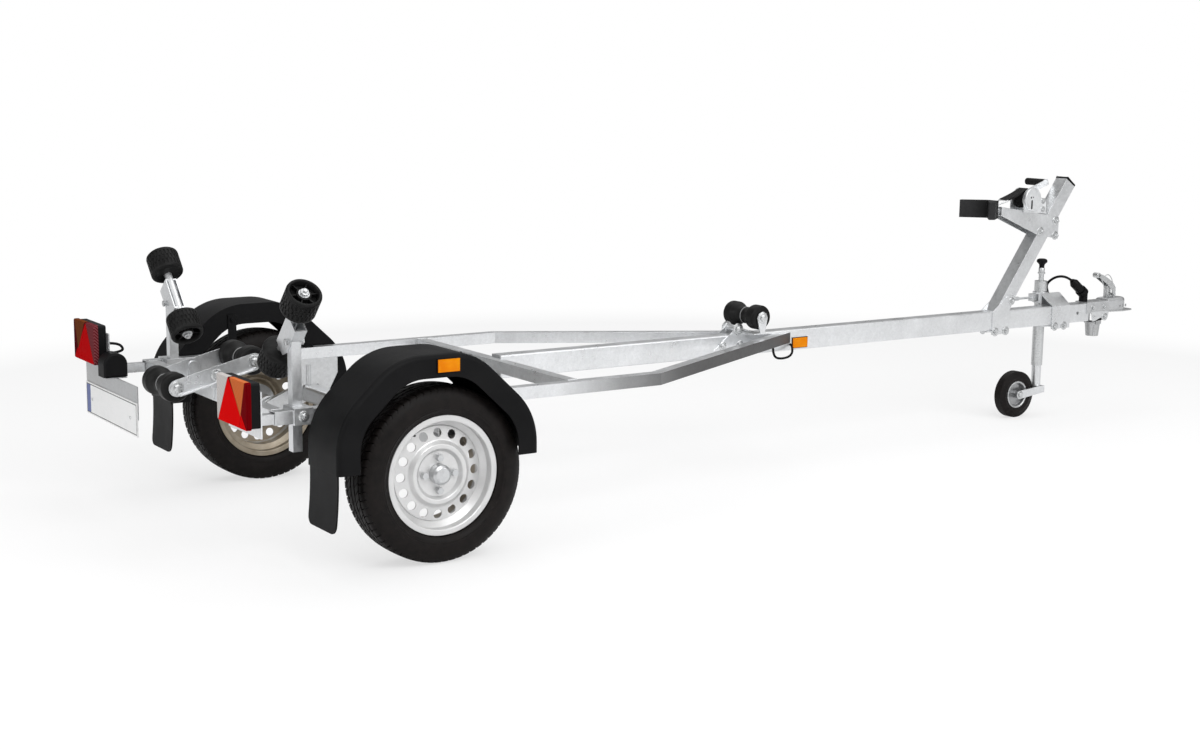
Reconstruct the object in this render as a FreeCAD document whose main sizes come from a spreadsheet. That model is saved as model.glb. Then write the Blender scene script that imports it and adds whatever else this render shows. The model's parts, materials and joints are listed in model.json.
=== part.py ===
import FreeCAD, Part
import math
import os
import re
import Sketcher

# Boat trailer: one axle, a drawbar beam that forks into two side rails, tilting hull rollers,
# a winch post and a jockey wheel. Millimetres, +X forwards, +Y left, +Z up.
# The origin is on the ground under the middle of the whole trailer.
# Every piece is drawn from the axle's centre line and then moved by the same distance along X.

# Driving sizes
SIZES = {
    # Whole trailer, measured from the axle's centre line where a place is given
    "overall_length": 4492,
    "tail_overhang": 628,
    "track": 1300,
    "cut_overrun": 2,
    "running_gap": 0.08,
    "soft_gap": 0.3,
    "moving_gap": 6,
    # Drawbar beam
    "beam_width": 60,
    "beam_height": 80,
    "beam_wall": 3,
    "beam_top": 486,
    "beam_front": 3577,
    "beam_corner": 5,
    "tow_hole_radius": 7,
    "tow_hole_setback": 71,
    # Side rails and cross members
    "rail_size": 40,
    "rail_wall": 3,
    "rail_top": 476,
    "rail_centre": 530,
    "rail_rear": 460,
    "rail_bend": 905,
    "rail_tip": 1890,
    "member_wall": 4,
    "front_member_place": 582,
    # Axle
    "axle_height": 268,
    "axle_tube_size": 60,
    "axle_tube_length": 1080,
    "axle_tube_corner": 12,
    "axle_tube_lead": 136,
    "axle_tube_height": 315,
    "arm_thickness": 22,
    "arm_root_radius": 36,
    "arm_tip_radius": 27,
    "stub_radius": 16,
    "bracket_thickness": 6,
    "bracket_rear": 97,
    "bracket_front": 240,
    "bracket_foot": 285,
    "bracket_toe": 206,
    "bracket_toe_height": 318,
    "bracket_cheek_height": 381,
    "bracket_rib_radius": 8,
    "bracket_rib_length": 72,
    # Road wheels
    "tyre_radius": 268,
    "tyre_width": 155,
    "tyre_tread_width": 122,
    "tyre_bulge_share": 0.4,
    "bead_radius": 167,
    "rim_radius": 182,
    "rim_width": 126,
    "rim_well_radius": 148,
    "rim_sheet": 4,
    "rim_lip_edge": 1.8,
    "disc_offset": 30,
    "disc_hub_radius": 68,
    "disc_ridge_radius": 90,
    "disc_ridge_height": 12,
    "disc_bend_radius": 5,
    "disc_hole_radius": 14,
    "disc_hole_ring": 124,
    "disc_hole_count": 16,
    "stud_ring_radius": 50,
    "stud_count": 4,
    "nut_radius": 11,
    "nut_height": 16,
    "hub_radius": 38,
    "hub_flange_radius": 66,
    "hub_flange_thickness": 12,
    "hub_cap_radius": 31,
    "hub_cap_length": 34,
    "hub_cap_shoulder_share": 0.8,
    "hub_cap_face_share": 0.7,
    "hub_bore_share": 0.3,
    # Mudguards
    "guard_width": 200,
    "guard_side": 757,
    "guard_rear": 362,
    "guard_front": 303,
    "guard_foot": 313,
    "guard_top": 641,
    "guard_rear_shoulder": 462,
    "guard_front_shoulder": 436,
    "guard_slope": 43,
    "guard_skirt": 70,
    "guard_sheet": 4,
    "guard_bend_radius": 210,
    "guard_edge_radius": 16,
    "flap_length": 172,
    "flap_thickness": 5,
    "flap_width": 170,
    "flap_lap": 22,
    "stay_width": 30,
    "stay_thickness": 5,
    "stay_reach": 150,
    # Side roller posts and rockers
    "post_size": 30,
    "post_wall": 2.5,
    "post_place": 373,
    "post_foot": 343,
    "post_top": 683,
    "post_pivot_drop": 15,
    "post_pin_radius": 6,
    "clamp_thickness": 5,
    "clamp_rear": 402,
    "clamp_front": 343,
    "rocker_tilt": 47.4,
    "rocker_rod_rise": 45,
    "rocker_rod_radius": 13,
    "rocker_reach": 126,
    "rocker_cheek_length": 120,
    "rocker_cheek_low": 13,
    "rocker_cheek_high": 56,
    "rocker_sheet": 4,
    "rocker_web_start": 16,
    "rocker_end_plate": 6,
    "side_roller_radius": 54,
    "side_roller_length": 82,
    "side_roller_edge": 8,
    "side_roller_cup": 26,
    "side_roller_wall": 11,
    "side_roller_hub": 22,
    "side_roller_spokes": 6,
    "side_roller_spoke": 4,
    "side_roller_spoke_share": 0.6,
    # Keel rollers
    "keel_roller_radius": 46,
    "keel_roller_waist": 31,
    "keel_roller_length": 180,
    "keel_roller_rim": 40,
    "keel_roller_groove": 40,
    "keel_roller_edge": 10,
    "keel_roller_lobe_radius": 14,
    "keel_roller_waist_radius": 26,
    "keel_shaft_radius": 8,
    "keel_pivot_place": 455,
    "keel_pivot_rise": 42,
    "keel_rocker_reach": 130,
    "keel_rocker_tilt": 14,
    "keel_arm_depth": 52,
    "keel_arm_sheet": 4,
    "keel_arm_lip": 14,
    "keel_arm_span": 196,
    "keel_ear_width": 34,
    "keel_ear_sheet": 6,
    "keel_ear_foot": 31,
    # Drawbar keel roller
    "yoke_place": 1697,
    "yoke_height": 552,
    "yoke_pivot_place": 1631,
    "yoke_pivot_rise": 20,
    "yoke_sheet": 4,
    "yoke_head_radius": 24,
    "yoke_diagonal_share": 0.7,
    "vee_rear": 1520,
    "vee_front": 1668,
    "vee_foot": 432,
    "vee_sheet": 4,
    "vee_head_radius": 16,
    # Winch post, bow arm and bow block
    "mast_size": 60,
    "mast_wall": 3,
    "mast_foot_place": 3038,
    "mast_length": 654,
    "mast_lean": 54.3,
    "shoe_rear": 2982,
    "shoe_front": 3080,
    "shoe_sheet": 4,
    "shoe_drop": 18,
    "shoe_pad": 6,
    "bow_arm_sheet": 4,
    "bow_arm_top_sheet": 4.8,
    "bow_bolt_radius": 8,
    "bow_bolt_length": 6,
    "bow_stub_radius": 18,
    "bow_stub_end": 2957,
    "bow_stub_height": 904,
    "bow_arm_tip_place": 3003,
    "bow_arm_tip_top": 922,
    "bow_arm_tip_foot": 886,
    "bow_arm_front": 3350,
    "bow_arm_front_top": 868,
    "bow_arm_front_foot": 776,
    "bow_arm_knee_place": 3225,
    "bow_arm_knee_foot": 797,
    "bow_block_apex": 2985,
    "bow_block_tip": 2878,
    "bow_block_half": 95,
    "bow_block_height": 72,
    "bow_block_centre": 912,
    "bow_block_wall": 22,
    "bow_block_web": 30,
    # Winch
    "drum_place": 3173,
    "drum_height": 949,
    "drum_core_radius": 16,
    "drum_flange_radius": 45,
    "drum_flange_sheet": 3,
    "drum_half_width": 30,
    "drum_shaft_radius": 8,
    "strap_roll_radius": 38,
    "strap_width": 48,
    "strap_thickness": 3,
    "strap_clear": 7,
    "strap_run_start": 12,
    "strap_hook_place": 3052,
    "strap_hook_height": 953,
    "strap_hook_thick": 8,
    "strap_hook_reach": 16,
    "strap_hook_width": 16,
    "winch_cheek_sheet": 3,
    "winch_cheek_gap": 6,
    "winch_cheek_front": 3262,
    "winch_cheek_rear": 3128,
    "winch_guard_radius": 47,
    "winch_guard_wall": 4,
    "winch_guard_depth": 10,
    "winch_guard_edge": 2.4,
    "crank_length": 186,
    "crank_rise": 19,
    "crank_bar": 24,
    "crank_sheet": 6,
    "crank_grip_radius": 14,
    "crank_grip_length": 104,
    # Jockey wheel
    "jockey_place": 3372,
    "jockey_side": 66,
    "jockey_tube_radius": 24,
    "jockey_tube_wall": 2.5,
    "jockey_tube_top": 585,
    "jockey_tube_foot": 217,
    "jockey_inner_radius": 20.5,
    "jockey_inner_foot": 118,
    "jockey_leg_lap": 95,
    "jockey_collar_radius": 27,
    "jockey_collar_height": 42,
    "jockey_neck_radius": 11,
    "jockey_neck_length": 62,
    "jockey_knob_radius": 23,
    "jockey_knob_height": 16,
    "jockey_wheel_radius": 100,
    "jockey_tyre_width": 50,
    "jockey_tread_width": 34,
    "jockey_rim_radius": 58,
    "jockey_rim_half": 20,
    "jockey_trail": 134,
    "jockey_pin_radius": 8,
    "jockey_fork_sheet": 5,
    "jockey_fork_depth": 36,
    "jockey_fork_half": 36,
    "saddle_rear": 3342,
    "saddle_front": 3452,
    "saddle_sheet": 5,
    "saddle_rise": 44,
    "saddle_bolt_drop": 7.5,
    "clamp_ring_radius": 33,
    "clamp_ring_height": 46,
    "clamp_ring_foot": 492,
    "clamp_lug_length": 56,
    "clamp_lug_height": 32,
    "clamp_lever_length": 96,
    "clamp_lever_radius": 5,
    "clamp_knob_radius": 9,
    "clamp_knob_length": 30,
    # Coupling
    "coupling_nose": 3864,
    "coupling_brim_height": 440,
    "coupling_sleeve_front": 3700,
    "coupling_sleeve_lap": 16,
    "coupling_sheet": 4,
    "coupling_socket_place": 3775,
    "coupling_dome_radius": 38,
    "coupling_head_rise": 14,
    "coupling_head_setback": 45,
    "coupling_crown_radius": 14,
    "coupling_ball_radius": 25,
    "coupling_brim_radius": 64,
    "lip_waist_share": 0.78,
    "lip_nose_share": 0.62,
    "lip_corner_share": 0.55,
    "head_corner_share": 0.9,
    "coupling_cup_place": 3640,
    "coupling_cup_top": 398,
    "coupling_cup_foot": 336,
    "coupling_cup_wide": 33,
    "coupling_cup_narrow": 27,
    "lever_place": 3757,
    "lever_width": 30,
    "lever_sheet": 6,
    "lever_rise": 78,
    "lever_reach": 96,
    "lever_end_rise": 34,
    "lever_end_tilt": 20,
    "lever_crook": 9,
    # Plug and cables
    "plug_radius": 20,
    "plug_length": 78,
    "plug_collar_radius": 24,
    "plug_collar_length": 26,
    "plug_place": 3571,
    "plug_foot": 526,
    "plug_tilt": 53,
    "cable_radius": 4.5,
    "cable_clear": 7,
    "cable_bend": 30,
    "plug_cable_rise": 34,
    "plug_cable_lift": 20,
    "plug_cable_crest_place": 3418,
    "plug_cable_crest": 606,
    "plug_cable_side": 24,
    "cable_entry_height": 512,
    "lamp_loop_side": 600,
    "lamp_loop_top": 532,
    "lamp_loop_reach": 66,
    "tip_loop_rear": 120,
    "tip_loop_side": 74,
    "tip_loop_drop": 22,
    "tip_loop_crest_share": 0.6,
    "tip_loop_front_share": 0.2,
    # Lamps
    "lamp_width": 212,
    "lamp_outer": 744,
    "lamp_top": 604,
    "lamp_foot": 470,
    "lamp_lens_depth": 15,
    "lamp_house_depth": 27,
    "lamp_house_step": 3,
    "lamp_corner_radius": 8,
    "lamp_lens_edge": 4,
    "lamp_plate_lap": 3,
    "lamp_plate_sheet": 4,
    "lamp_plate_drop": 26,
    "lamp_plate_shy": 28,
    "lamp_bar_size": 30,
    # Number plate
    "plate_length": 502,
    "plate_height": 110,
    "plate_sheet": 4,
    "plate_inset": 4,
    "plate_foot": 276,
    "plate_flange_top": 440,
    "plate_flange_depth": 70,
    "plate_lamp_radius": 40,
    "plate_lamp_length": 62,
    "plate_lamp_edge": 8,
    "plate_lamp_dome_share": 0.97,
    "plate_lamp_gap": 27,
    "plate_strip_sheet": 3,
    # Side reflectors
    "reflector_length": 72,
    "reflector_height": 38,
    "reflector_depth": 5,
    "guard_reflector_place": -8,
    "guard_reflector_height": 606,
    "beam_reflector_place": 1937,
    "beam_reflector_height": 434,
}

doc = FreeCAD.newDocument("BoatTrailer")
sheet = doc.addObject("Spreadsheet::Sheet", "Sizes")
for row, (alias, value) in enumerate(SIZES.items(), start=1):
    sheet.set(f"A{row}", alias)
    sheet.set(f"B{row}", str(value))
    sheet.setAlias(f"B{row}", alias)
doc.recompute()

SHIFT = "(tail_overhang - overall_length / 2)"
VECTOR = FreeCAD.Vector
LEFT = ("left", 1)
RIGHT = ("right", -1)
SIDES = (LEFT, RIGHT)
FULL_TURN = 360
QUARTER_TURN = 90
parts_made = []


# Helpers: every size and place is an expression in the sheet's names

def linked(text):
    return re.sub(r"[A-Za-z_]\w*", lambda found: "Sizes." + found.group(0)
                  if found.group(0) in SIZES else found.group(0), str(text))


def value(text):
    return float(sheet.evalExpression(linked(text)))


def bind(thing, prop, text):
    thing.setExpression(prop, linked(text))


def turn(axis, degrees):
    return FreeCAD.Rotation(VECTOR(*axis), degrees)


UPRIGHT = FreeCAD.Rotation()
# Drawn in X-Y and stood up: the drawing's X stays X and its Y becomes Z (side view)
SIDE_VIEW = turn((1, 0, 0), QUARTER_TURN)
# The drawing's X becomes Y and its Y becomes Z (rear view)
REAR_VIEW = turn((1, 1, 1), 120)
# A turned piece's axis, Z, is laid along Y or along X
ALONG_Y = turn((1, 0, 0), -QUARTER_TURN)
ALONG_X = turn((0, 1, 0), QUARTER_TURN)


def place(thing, at=("0", "0", "0"), rotation=UPRIGHT):
    thing.Placement = FreeCAD.Placement(VECTOR(*[value(text) for text in at]), rotation)
    for axis, text in zip("xyz", at):
        bind(thing, f"Placement.Base.{axis}", text)
    return thing


def box(name, size, at, rotation=UPRIGHT):
    thing = doc.addObject("Part::Box", name)
    for prop, text in zip(("Length", "Width", "Height"), size):
        bind(thing, prop, text)
    return place(thing, at, rotation)


def rod(name, radius, length, at, rotation=UPRIGHT):
    thing = doc.addObject("Part::Cylinder", name)
    bind(thing, "Radius", radius)
    bind(thing, "Height", length)
    return place(thing, at, rotation)


def fuse(name, pieces):
    thing = doc.addObject("Part::MultiFuse", name)
    thing.Shapes = pieces
    return thing


def cut(name, base, tools):
    thing = doc.addObject("Part::Cut", name)
    thing.Base = base
    thing.Tool = tools[0] if len(tools) == 1 else fuse(name + "_tools", tools)
    return thing


def group(name, pieces):
    thing = doc.addObject("Part::Compound", name)
    thing.Links = pieces
    return thing


def origin_feature(body, role):
    return [item for item in body.Origin.OriginFeatures if item.Role == role][0]


def outline(body, name, points, plane="XY_Plane"):
    sketch = body.newObject("Sketcher::SketchObject", name)
    sketch.AttachmentSupport = (origin_feature(body, plane), [""])
    sketch.MapMode = "FlatFace"
    spots = [VECTOR(value(x), value(y), 0) for x, y in points]
    for index, spot in enumerate(spots):
        sketch.addGeometry(Part.LineSegment(spot, spots[(index + 1) % len(spots)]), False)
    for index in range(len(spots)):
        sketch.addConstraint(Sketcher.Constraint("Coincident", index, 2, (index + 1) % len(spots), 1))
    for index, spot in enumerate(spots):
        for kind, number, text in zip(("DistanceX", "DistanceY"), (spot.x, spot.y), points[index]):
            made = sketch.addConstraint(Sketcher.Constraint(kind, -1, 1, index, 1, number))
            bind(sketch, f"Constraints[{made}]", text)
    return sketch


def slab(name, points, thickness):
    """A plate of the given outline, its thickness centred on the drawing plane."""
    body = doc.addObject("PartDesign::Body", name)
    sketch = outline(body, name + "_outline", points)
    pad = body.newObject("PartDesign::Pad", name + "_pad")
    pad.Profile = sketch
    pad.Midplane = True
    bind(pad, "Length", thickness)
    return body


def turned(name, points):
    """A piece turned about the drawing's upright axis: points are (radius, height)."""
    body = doc.addObject("PartDesign::Body", name)
    sketch = outline(body, name + "_half", points, "XZ_Plane")
    ring = body.newObject("PartDesign::Revolution", name + "_turned")
    ring.Profile = sketch
    ring.ReferenceAxis = (origin_feature(body, "Z_Axis"), [""])
    ring.Angle = FULL_TURN
    return body


def round_edges(body, name, radius, chosen):
    """Rounds those edges of the body's last feature that the test picks."""
    doc.recompute()
    base = body.Tip
    edges = [f"Edge{index}" for index, edge in enumerate(base.Shape.Edges, start=1) if chosen(edge)]
    smooth = body.newObject("PartDesign::Fillet", name)
    smooth.Base = (base, edges)
    bind(smooth, "Radius", radius)
    return body


def hole_ring(body, name, ring_radius, hole_radius, count):
    """A ring of round holes through a turned piece."""
    sketch = body.newObject("Sketcher::SketchObject", name + "_round")
    sketch.AttachmentSupport = (origin_feature(body, "XY_Plane"), [""])
    sketch.MapMode = "FlatFace"
    centre = VECTOR(value(ring_radius), 0, 0)
    sketch.addGeometry(Part.Circle(centre, VECTOR(0, 0, 1), value(hole_radius)), False)
    made = sketch.addConstraint(Sketcher.Constraint("Radius", 0, value(hole_radius)))
    bind(sketch, f"Constraints[{made}]", hole_radius)
    made = sketch.addConstraint(Sketcher.Constraint("DistanceX", -1, 1, 0, 3, value(ring_radius)))
    bind(sketch, f"Constraints[{made}]", ring_radius)
    sketch.addConstraint(Sketcher.Constraint("PointOnObject", 0, 3, -1))
    pocket = body.newObject("PartDesign::Pocket", name)
    pocket.Profile = sketch
    pocket.Midplane = True
    bind(pocket, "Length", "2 * (disc_offset + disc_ridge_height)")
    doc.recompute()
    ring = body.newObject("PartDesign::PolarPattern", name + "s")
    ring.Originals = [pocket]
    ring.Axis = (origin_feature(body, "Z_Axis"), [""])
    ring.Angle = FULL_TURN
    bind(ring, "Occurrences", count)
    body.Tip = ring


def rim_at(*spots):
    """Picks a turned piece's circular edges by radius and height."""
    def chosen(edge):
        curve = edge.Curve
        if not hasattr(curve, "Radius"):
            return False
        reach = value("running_gap")
        return any(abs(curve.Radius - value(radius)) < reach and abs(curve.Center.z - value(height)) < reach
                   for radius, height in spots)
    return chosen


def far_face(level):
    """Picks the edges that lie wholly at one height of the drawing."""
    def chosen(edge):
        bounds, reach = edge.BoundBox, value("running_gap")
        return bounds.ZLength < reach and abs(bounds.ZMax - value(level)) < reach
    return chosen


def upright_edge(edge):
    first, last = edge.Vertexes[0].Point, edge.Vertexes[-1].Point
    return math.hypot(first.x - last.x, first.y - last.y) < abs(first.z - last.z) / 2


def upright_edge_at(spots):
    def chosen(edge):
        if not upright_edge(edge):
            return False
        point = edge.Vertexes[0].Point
        reach = value("cut_overrun")
        return any(math.hypot(point.x - value(x), point.y - value(y)) < reach for x, y in spots)
    return chosen


def finish(thing, label, tilt=UPRIGHT, at=("0", "0", "0")):
    """Moves a finished piece from the axle's frame to the trailer's, and names it."""
    place(thing, (f"{SHIFT} + {at[0]}", at[1], at[2]), tilt)
    thing.Label = label
    parts_made.append(thing)
    return thing


# Drawbar beam: an open rectangular tube with the towing hole through both sides

def main_beam():
    length = "(beam_front - front_member_place - rail_size / 2)"
    rear = "(front_member_place + rail_size / 2)"
    body = slab("beam_blank", [("-beam_width / 2", "-beam_height / 2"),
                               ("beam_width / 2", "-beam_height / 2"),
                               ("beam_width / 2", "beam_height / 2"),
                               ("-beam_width / 2", "beam_height / 2")], length)
    round_edges(body, "beam_corners", "beam_corner", upright_edge)
    place(body, (f"{rear} + {length} / 2", "0", "beam_top - beam_height / 2"), REAR_VIEW)
    bore = box("beam_bore", (f"{length} + 2 * cut_overrun", "beam_width - 2 * beam_wall",
                             "beam_height - 2 * beam_wall"),
               (f"{rear} - cut_overrun", "beam_wall - beam_width / 2",
                "beam_top - beam_height + beam_wall"))
    hole = rod("tow_hole", "tow_hole_radius", "beam_width + 2 * cut_overrun",
               ("beam_front - tow_hole_setback", "-beam_width / 2 - cut_overrun",
                "beam_top - beam_height / 2"), ALONG_Y)
    finish(cut("beam", body, [bore, hole]), "main_beam")


# Side rails: straight beside the axle, then tapering to a point on the beam's side

TAPER_SIDE = "(rail_centre + rail_size / 2 - beam_width / 2)"
TAPER_RUN = "(rail_tip - rail_bend)"
TAPER_LENGTH = f"sqrt({TAPER_SIDE} ^ 2 + {TAPER_RUN} ^ 2)"


def side_rail(side, sign):
    outer, inner = "(rail_centre + rail_size / 2)", "(rail_centre - rail_size / 2)"
    points = [("-rail_rear", f"{sign} * {inner}"),
              ("-rail_rear", f"{sign} * {outer}"),
              ("rail_bend", f"{sign} * {outer}"),
              ("rail_tip", f"{sign} * beam_width / 2"),
              (f"rail_tip - rail_size * {TAPER_LENGTH} / {TAPER_SIDE}", f"{sign} * beam_width / 2"),
              (f"rail_bend - rail_size * ({TAPER_LENGTH} - {TAPER_RUN}) / {TAPER_SIDE}",
               f"{sign} * {inner}")]
    body = slab(f"rail_{side}_blank", points, "rail_size")
    place(body, ("0", "0", "rail_top - rail_size / 2"))
    hollow = "(rail_size - 2 * rail_wall)"
    bore = box(f"rail_{side}_bore", ("rail_rear", hollow, hollow),
               ("-rail_rear - cut_overrun", f"{sign} * rail_centre - {hollow} / 2",
                f"rail_top - rail_size + rail_wall"))
    return cut(f"rail_{side}", body, [bore])


# Cross members: channels, open below, between the side rails

def cross_member(name, centre):
    length = "(2 * rail_centre - rail_size)"
    blank = box(f"member_{name}_blank", ("rail_size", length, "rail_size"),
                (f"{centre} - rail_size / 2", f"-{length} / 2", "rail_top - rail_size"))
    hollow = box(f"member_{name}_hollow", ("rail_size - 2 * member_wall", f"{length} + 2 * cut_overrun",
                                           "rail_size"),
                 (f"{centre} - rail_size / 2 + member_wall", f"-{length} / 2 - cut_overrun",
                  "rail_top - rail_size - member_wall"))
    return cut(f"member_{name}", blank, [hollow])


# Axle: a square tube under the rails, with a trailing arm and a stub at each end

def axle_tube():
    half = "axle_tube_size / 2"
    body = slab("axle_bar", [(f"-{half}", f"-{half}"), (half, f"-{half}"), (half, half),
                             (f"-{half}", half)],
                "axle_tube_length")
    round_edges(body, "axle_corners", "axle_tube_corner", upright_edge)
    finish(body, "axle_tube", SIDE_VIEW, ("axle_tube_lead", "0", "axle_tube_height"))


def axle_brackets():
    top = "(rail_top - rail_size)"
    tube_rear, tube_front = "(axle_tube_lead - axle_tube_size / 2)", "(axle_tube_lead + axle_tube_size / 2)"
    tube_top = "(axle_tube_height + axle_tube_size / 2)"
    toe_floor = "(axle_tube_height - axle_tube_size / 4)"
    pieces = []
    for side, sign in SIDES:
        points = [("bracket_rear", top), ("bracket_rear", "bracket_foot"), (tube_rear, "bracket_foot"),
                  (tube_rear, tube_top), (tube_front, tube_top), (tube_front, toe_floor),
                  ("bracket_toe", toe_floor), ("bracket_toe", "bracket_toe_height"),
                  ("bracket_front", "bracket_cheek_height"), ("bracket_front", top)]
        plate = slab(f"bracket_{side}_plate", points, "bracket_thickness")
        inner = "(rail_centre - rail_size / 2 - bracket_thickness)"
        place(plate, ("0", f"{sign} * ({inner} + bracket_thickness / 2)", "0"), SIDE_VIEW)
        flange = box(f"bracket_{side}_flange",
                     ("bracket_front - bracket_rear", "rail_size + bracket_thickness",
                                                "bracket_thickness"),
                     ("bracket_rear", f"{sign} * ({inner} + (rail_size + bracket_thickness) / 2)"
                      f" - (rail_size + bracket_thickness) / 2", f"{top} - bracket_thickness"))
        rib = rod(f"bracket_{side}_rib", "bracket_rib_radius", "bracket_rib_length",
                  ("axle_tube_lead - axle_tube_size / 6", f"{sign} * {inner}", tube_top))
        pieces.append(fuse(f"bracket_{side}", [plate, flange, rib]))
    finish(group("bracket_pair", pieces), "axle_brackets")


def swing_arm(side, sign):
    run = "axle_tube_lead"
    rise = "(axle_tube_height - axle_height)"
    length = f"sqrt({run} ^ 2 + {rise} ^ 2)"
    inner = "axle_tube_length / 2"
    points = [("0", "-arm_tip_radius"), (length, "-arm_root_radius"), (length, "arm_root_radius"),
              ("0", "arm_tip_radius")]
    web = slab(f"arm_{side}_web", points, "arm_thickness")
    low = "-arm_thickness / 2"
    root = rod(f"arm_{side}_root", "arm_root_radius", "arm_thickness", (length, "0", low))
    tip = rod(f"arm_{side}_tip", "arm_tip_radius", "arm_thickness", ("0", "0", low))
    outward = "(track / 2 + disc_offset - hub_flange_thickness - arm_thickness / 2 - axle_tube_length / 2)"
    stub_low = f"-{outward} - arm_thickness / 2" if sign > 0 else "0"
    stub = rod(f"arm_{side}_stub", "stub_radius", f"{outward} + arm_thickness / 2", ("0", "0", stub_low))
    angle = math.degrees(math.atan2(value(rise), value(run)))
    arm = fuse(f"arm_{side}", [web, root, tip, stub])
    return place(arm, ("0", f"{sign} * ({inner} + arm_thickness / 2)", "axle_height"),
                 turn((0, 1, 0), -angle).multiply(SIDE_VIEW))


# Road wheels

def tyre(side, sign):
    """The tyre's outer form; the flats of its side walls meet at its widest place."""
    half, tread, seat = "tyre_width / 2", "tyre_tread_width / 2", "(rim_width / 2 - rim_sheet)"
    bore = "(rim_radius + soft_gap)"
    widest = "(rim_radius + tyre_bulge_share * (tyre_radius - rim_radius))"
    points = [(bore, f"-{seat}"), (widest, f"-{half}"), ("tyre_radius", f"-{tread}"),
              ("tyre_radius", tread),
              (widest, half), (bore, seat)]
    finish(turned(f"tyre_{side}_ring", points), f"tyre_{side}", ALONG_Y,
           ("0", f"{sign} * track / 2", "axle_height"))


def wheel_rim(side, sign):
    half = "rim_width / 2"
    sheet_in = "rim_sheet"
    well = "rim_well_radius"
    points = [("rim_radius", f"-{half}"), ("rim_radius", f"-{half} + {sheet_in}"),
              ("bead_radius", f"-{half} + {sheet_in}"), ("bead_radius", f"-{half} + 6 * {sheet_in}"),
              (well, f"-{half} + 8 * {sheet_in}"), (well, f"{half} - 12 * {sheet_in}"),
              ("bead_radius", f"{half} - 7 * {sheet_in}"), ("bead_radius", f"{half} - {sheet_in}"),
              ("rim_radius", f"{half} - {sheet_in}"), ("rim_radius", half),
              (f"bead_radius - {sheet_in}", half),
              (f"bead_radius - {sheet_in}", f"{half} - 7 * {sheet_in}"),
              (f"{well} - {sheet_in}", f"{half} - 11 * {sheet_in}"),
              (f"{well} - {sheet_in}", "disc_offset - 2 * disc_ridge_height / 3"),
              ("disc_ridge_radius + 3 * rim_sheet", "disc_offset"),
              ("disc_ridge_radius", "disc_offset + disc_ridge_height"),
              ("disc_ridge_radius - 3 * rim_sheet", "disc_offset + disc_ridge_height"),
              ("disc_hub_radius", "disc_offset"),
              ("hub_cap_radius + soft_gap", "disc_offset"),
              ("hub_cap_radius + soft_gap", "disc_offset - rim_sheet"),
              ("disc_hub_radius + rim_sheet / 2", "disc_offset - rim_sheet"),
              ("disc_ridge_radius - 3 * rim_sheet + rim_sheet / 2",
               "disc_offset + disc_ridge_height - rim_sheet"),
              ("disc_ridge_radius - rim_sheet / 2", "disc_offset + disc_ridge_height - rim_sheet"),
              ("disc_ridge_radius + 3 * rim_sheet - rim_sheet / 2", "disc_offset - rim_sheet"),
              (f"{well} - {sheet_in}", "disc_offset - 2 * disc_ridge_height / 3 - rim_sheet"),
              (f"{well} - {sheet_in}", f"-{half} + 7 * {sheet_in}"),
              (f"bead_radius - {sheet_in}", f"-{half} + 5 * {sheet_in}"),
              (f"bead_radius - {sheet_in}", f"-{half}")]
    body = turned(f"rim_{side}_ring", points)
    crest = "disc_offset + disc_ridge_height"
    round_edges(body, f"rim_{side}_crest", "disc_bend_radius",
                rim_at(("disc_ridge_radius", crest), ("disc_ridge_radius - 3 * rim_sheet", crest)))
    round_edges(body, f"rim_{side}_foot", "2 * disc_bend_radius",
                rim_at(("disc_ridge_radius + 3 * rim_sheet", "disc_offset")))
    round_edges(body, f"rim_{side}_lip", "rim_lip_edge",
                rim_at(("rim_radius", half), ("rim_radius", f"-{half}"),
                                                                  ("rim_radius", f"{half} - {sheet_in}"),
                                                                  ("rim_radius", f"-{half} + {sheet_in}")))
    round_edges(body, f"rim_{side}_seat", "rim_sheet", rim_at((f"bead_radius - {sheet_in}", half),
                                                              (f"bead_radius - {sheet_in}", f"-{half}")))
    hole_ring(body, f"rim_{side}_vent", "disc_hole_ring", "disc_hole_radius", "disc_hole_count")
    hole_ring(body, f"rim_{side}_stud_hole", "stud_ring_radius", "nut_radius / 2 + soft_gap", "stud_count")
    finish(body, f"wheel_rim_{side}", turn((1, 0, 0), -sign * QUARTER_TURN),
           ("0", f"{sign} * track / 2", "axle_height"))


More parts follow.
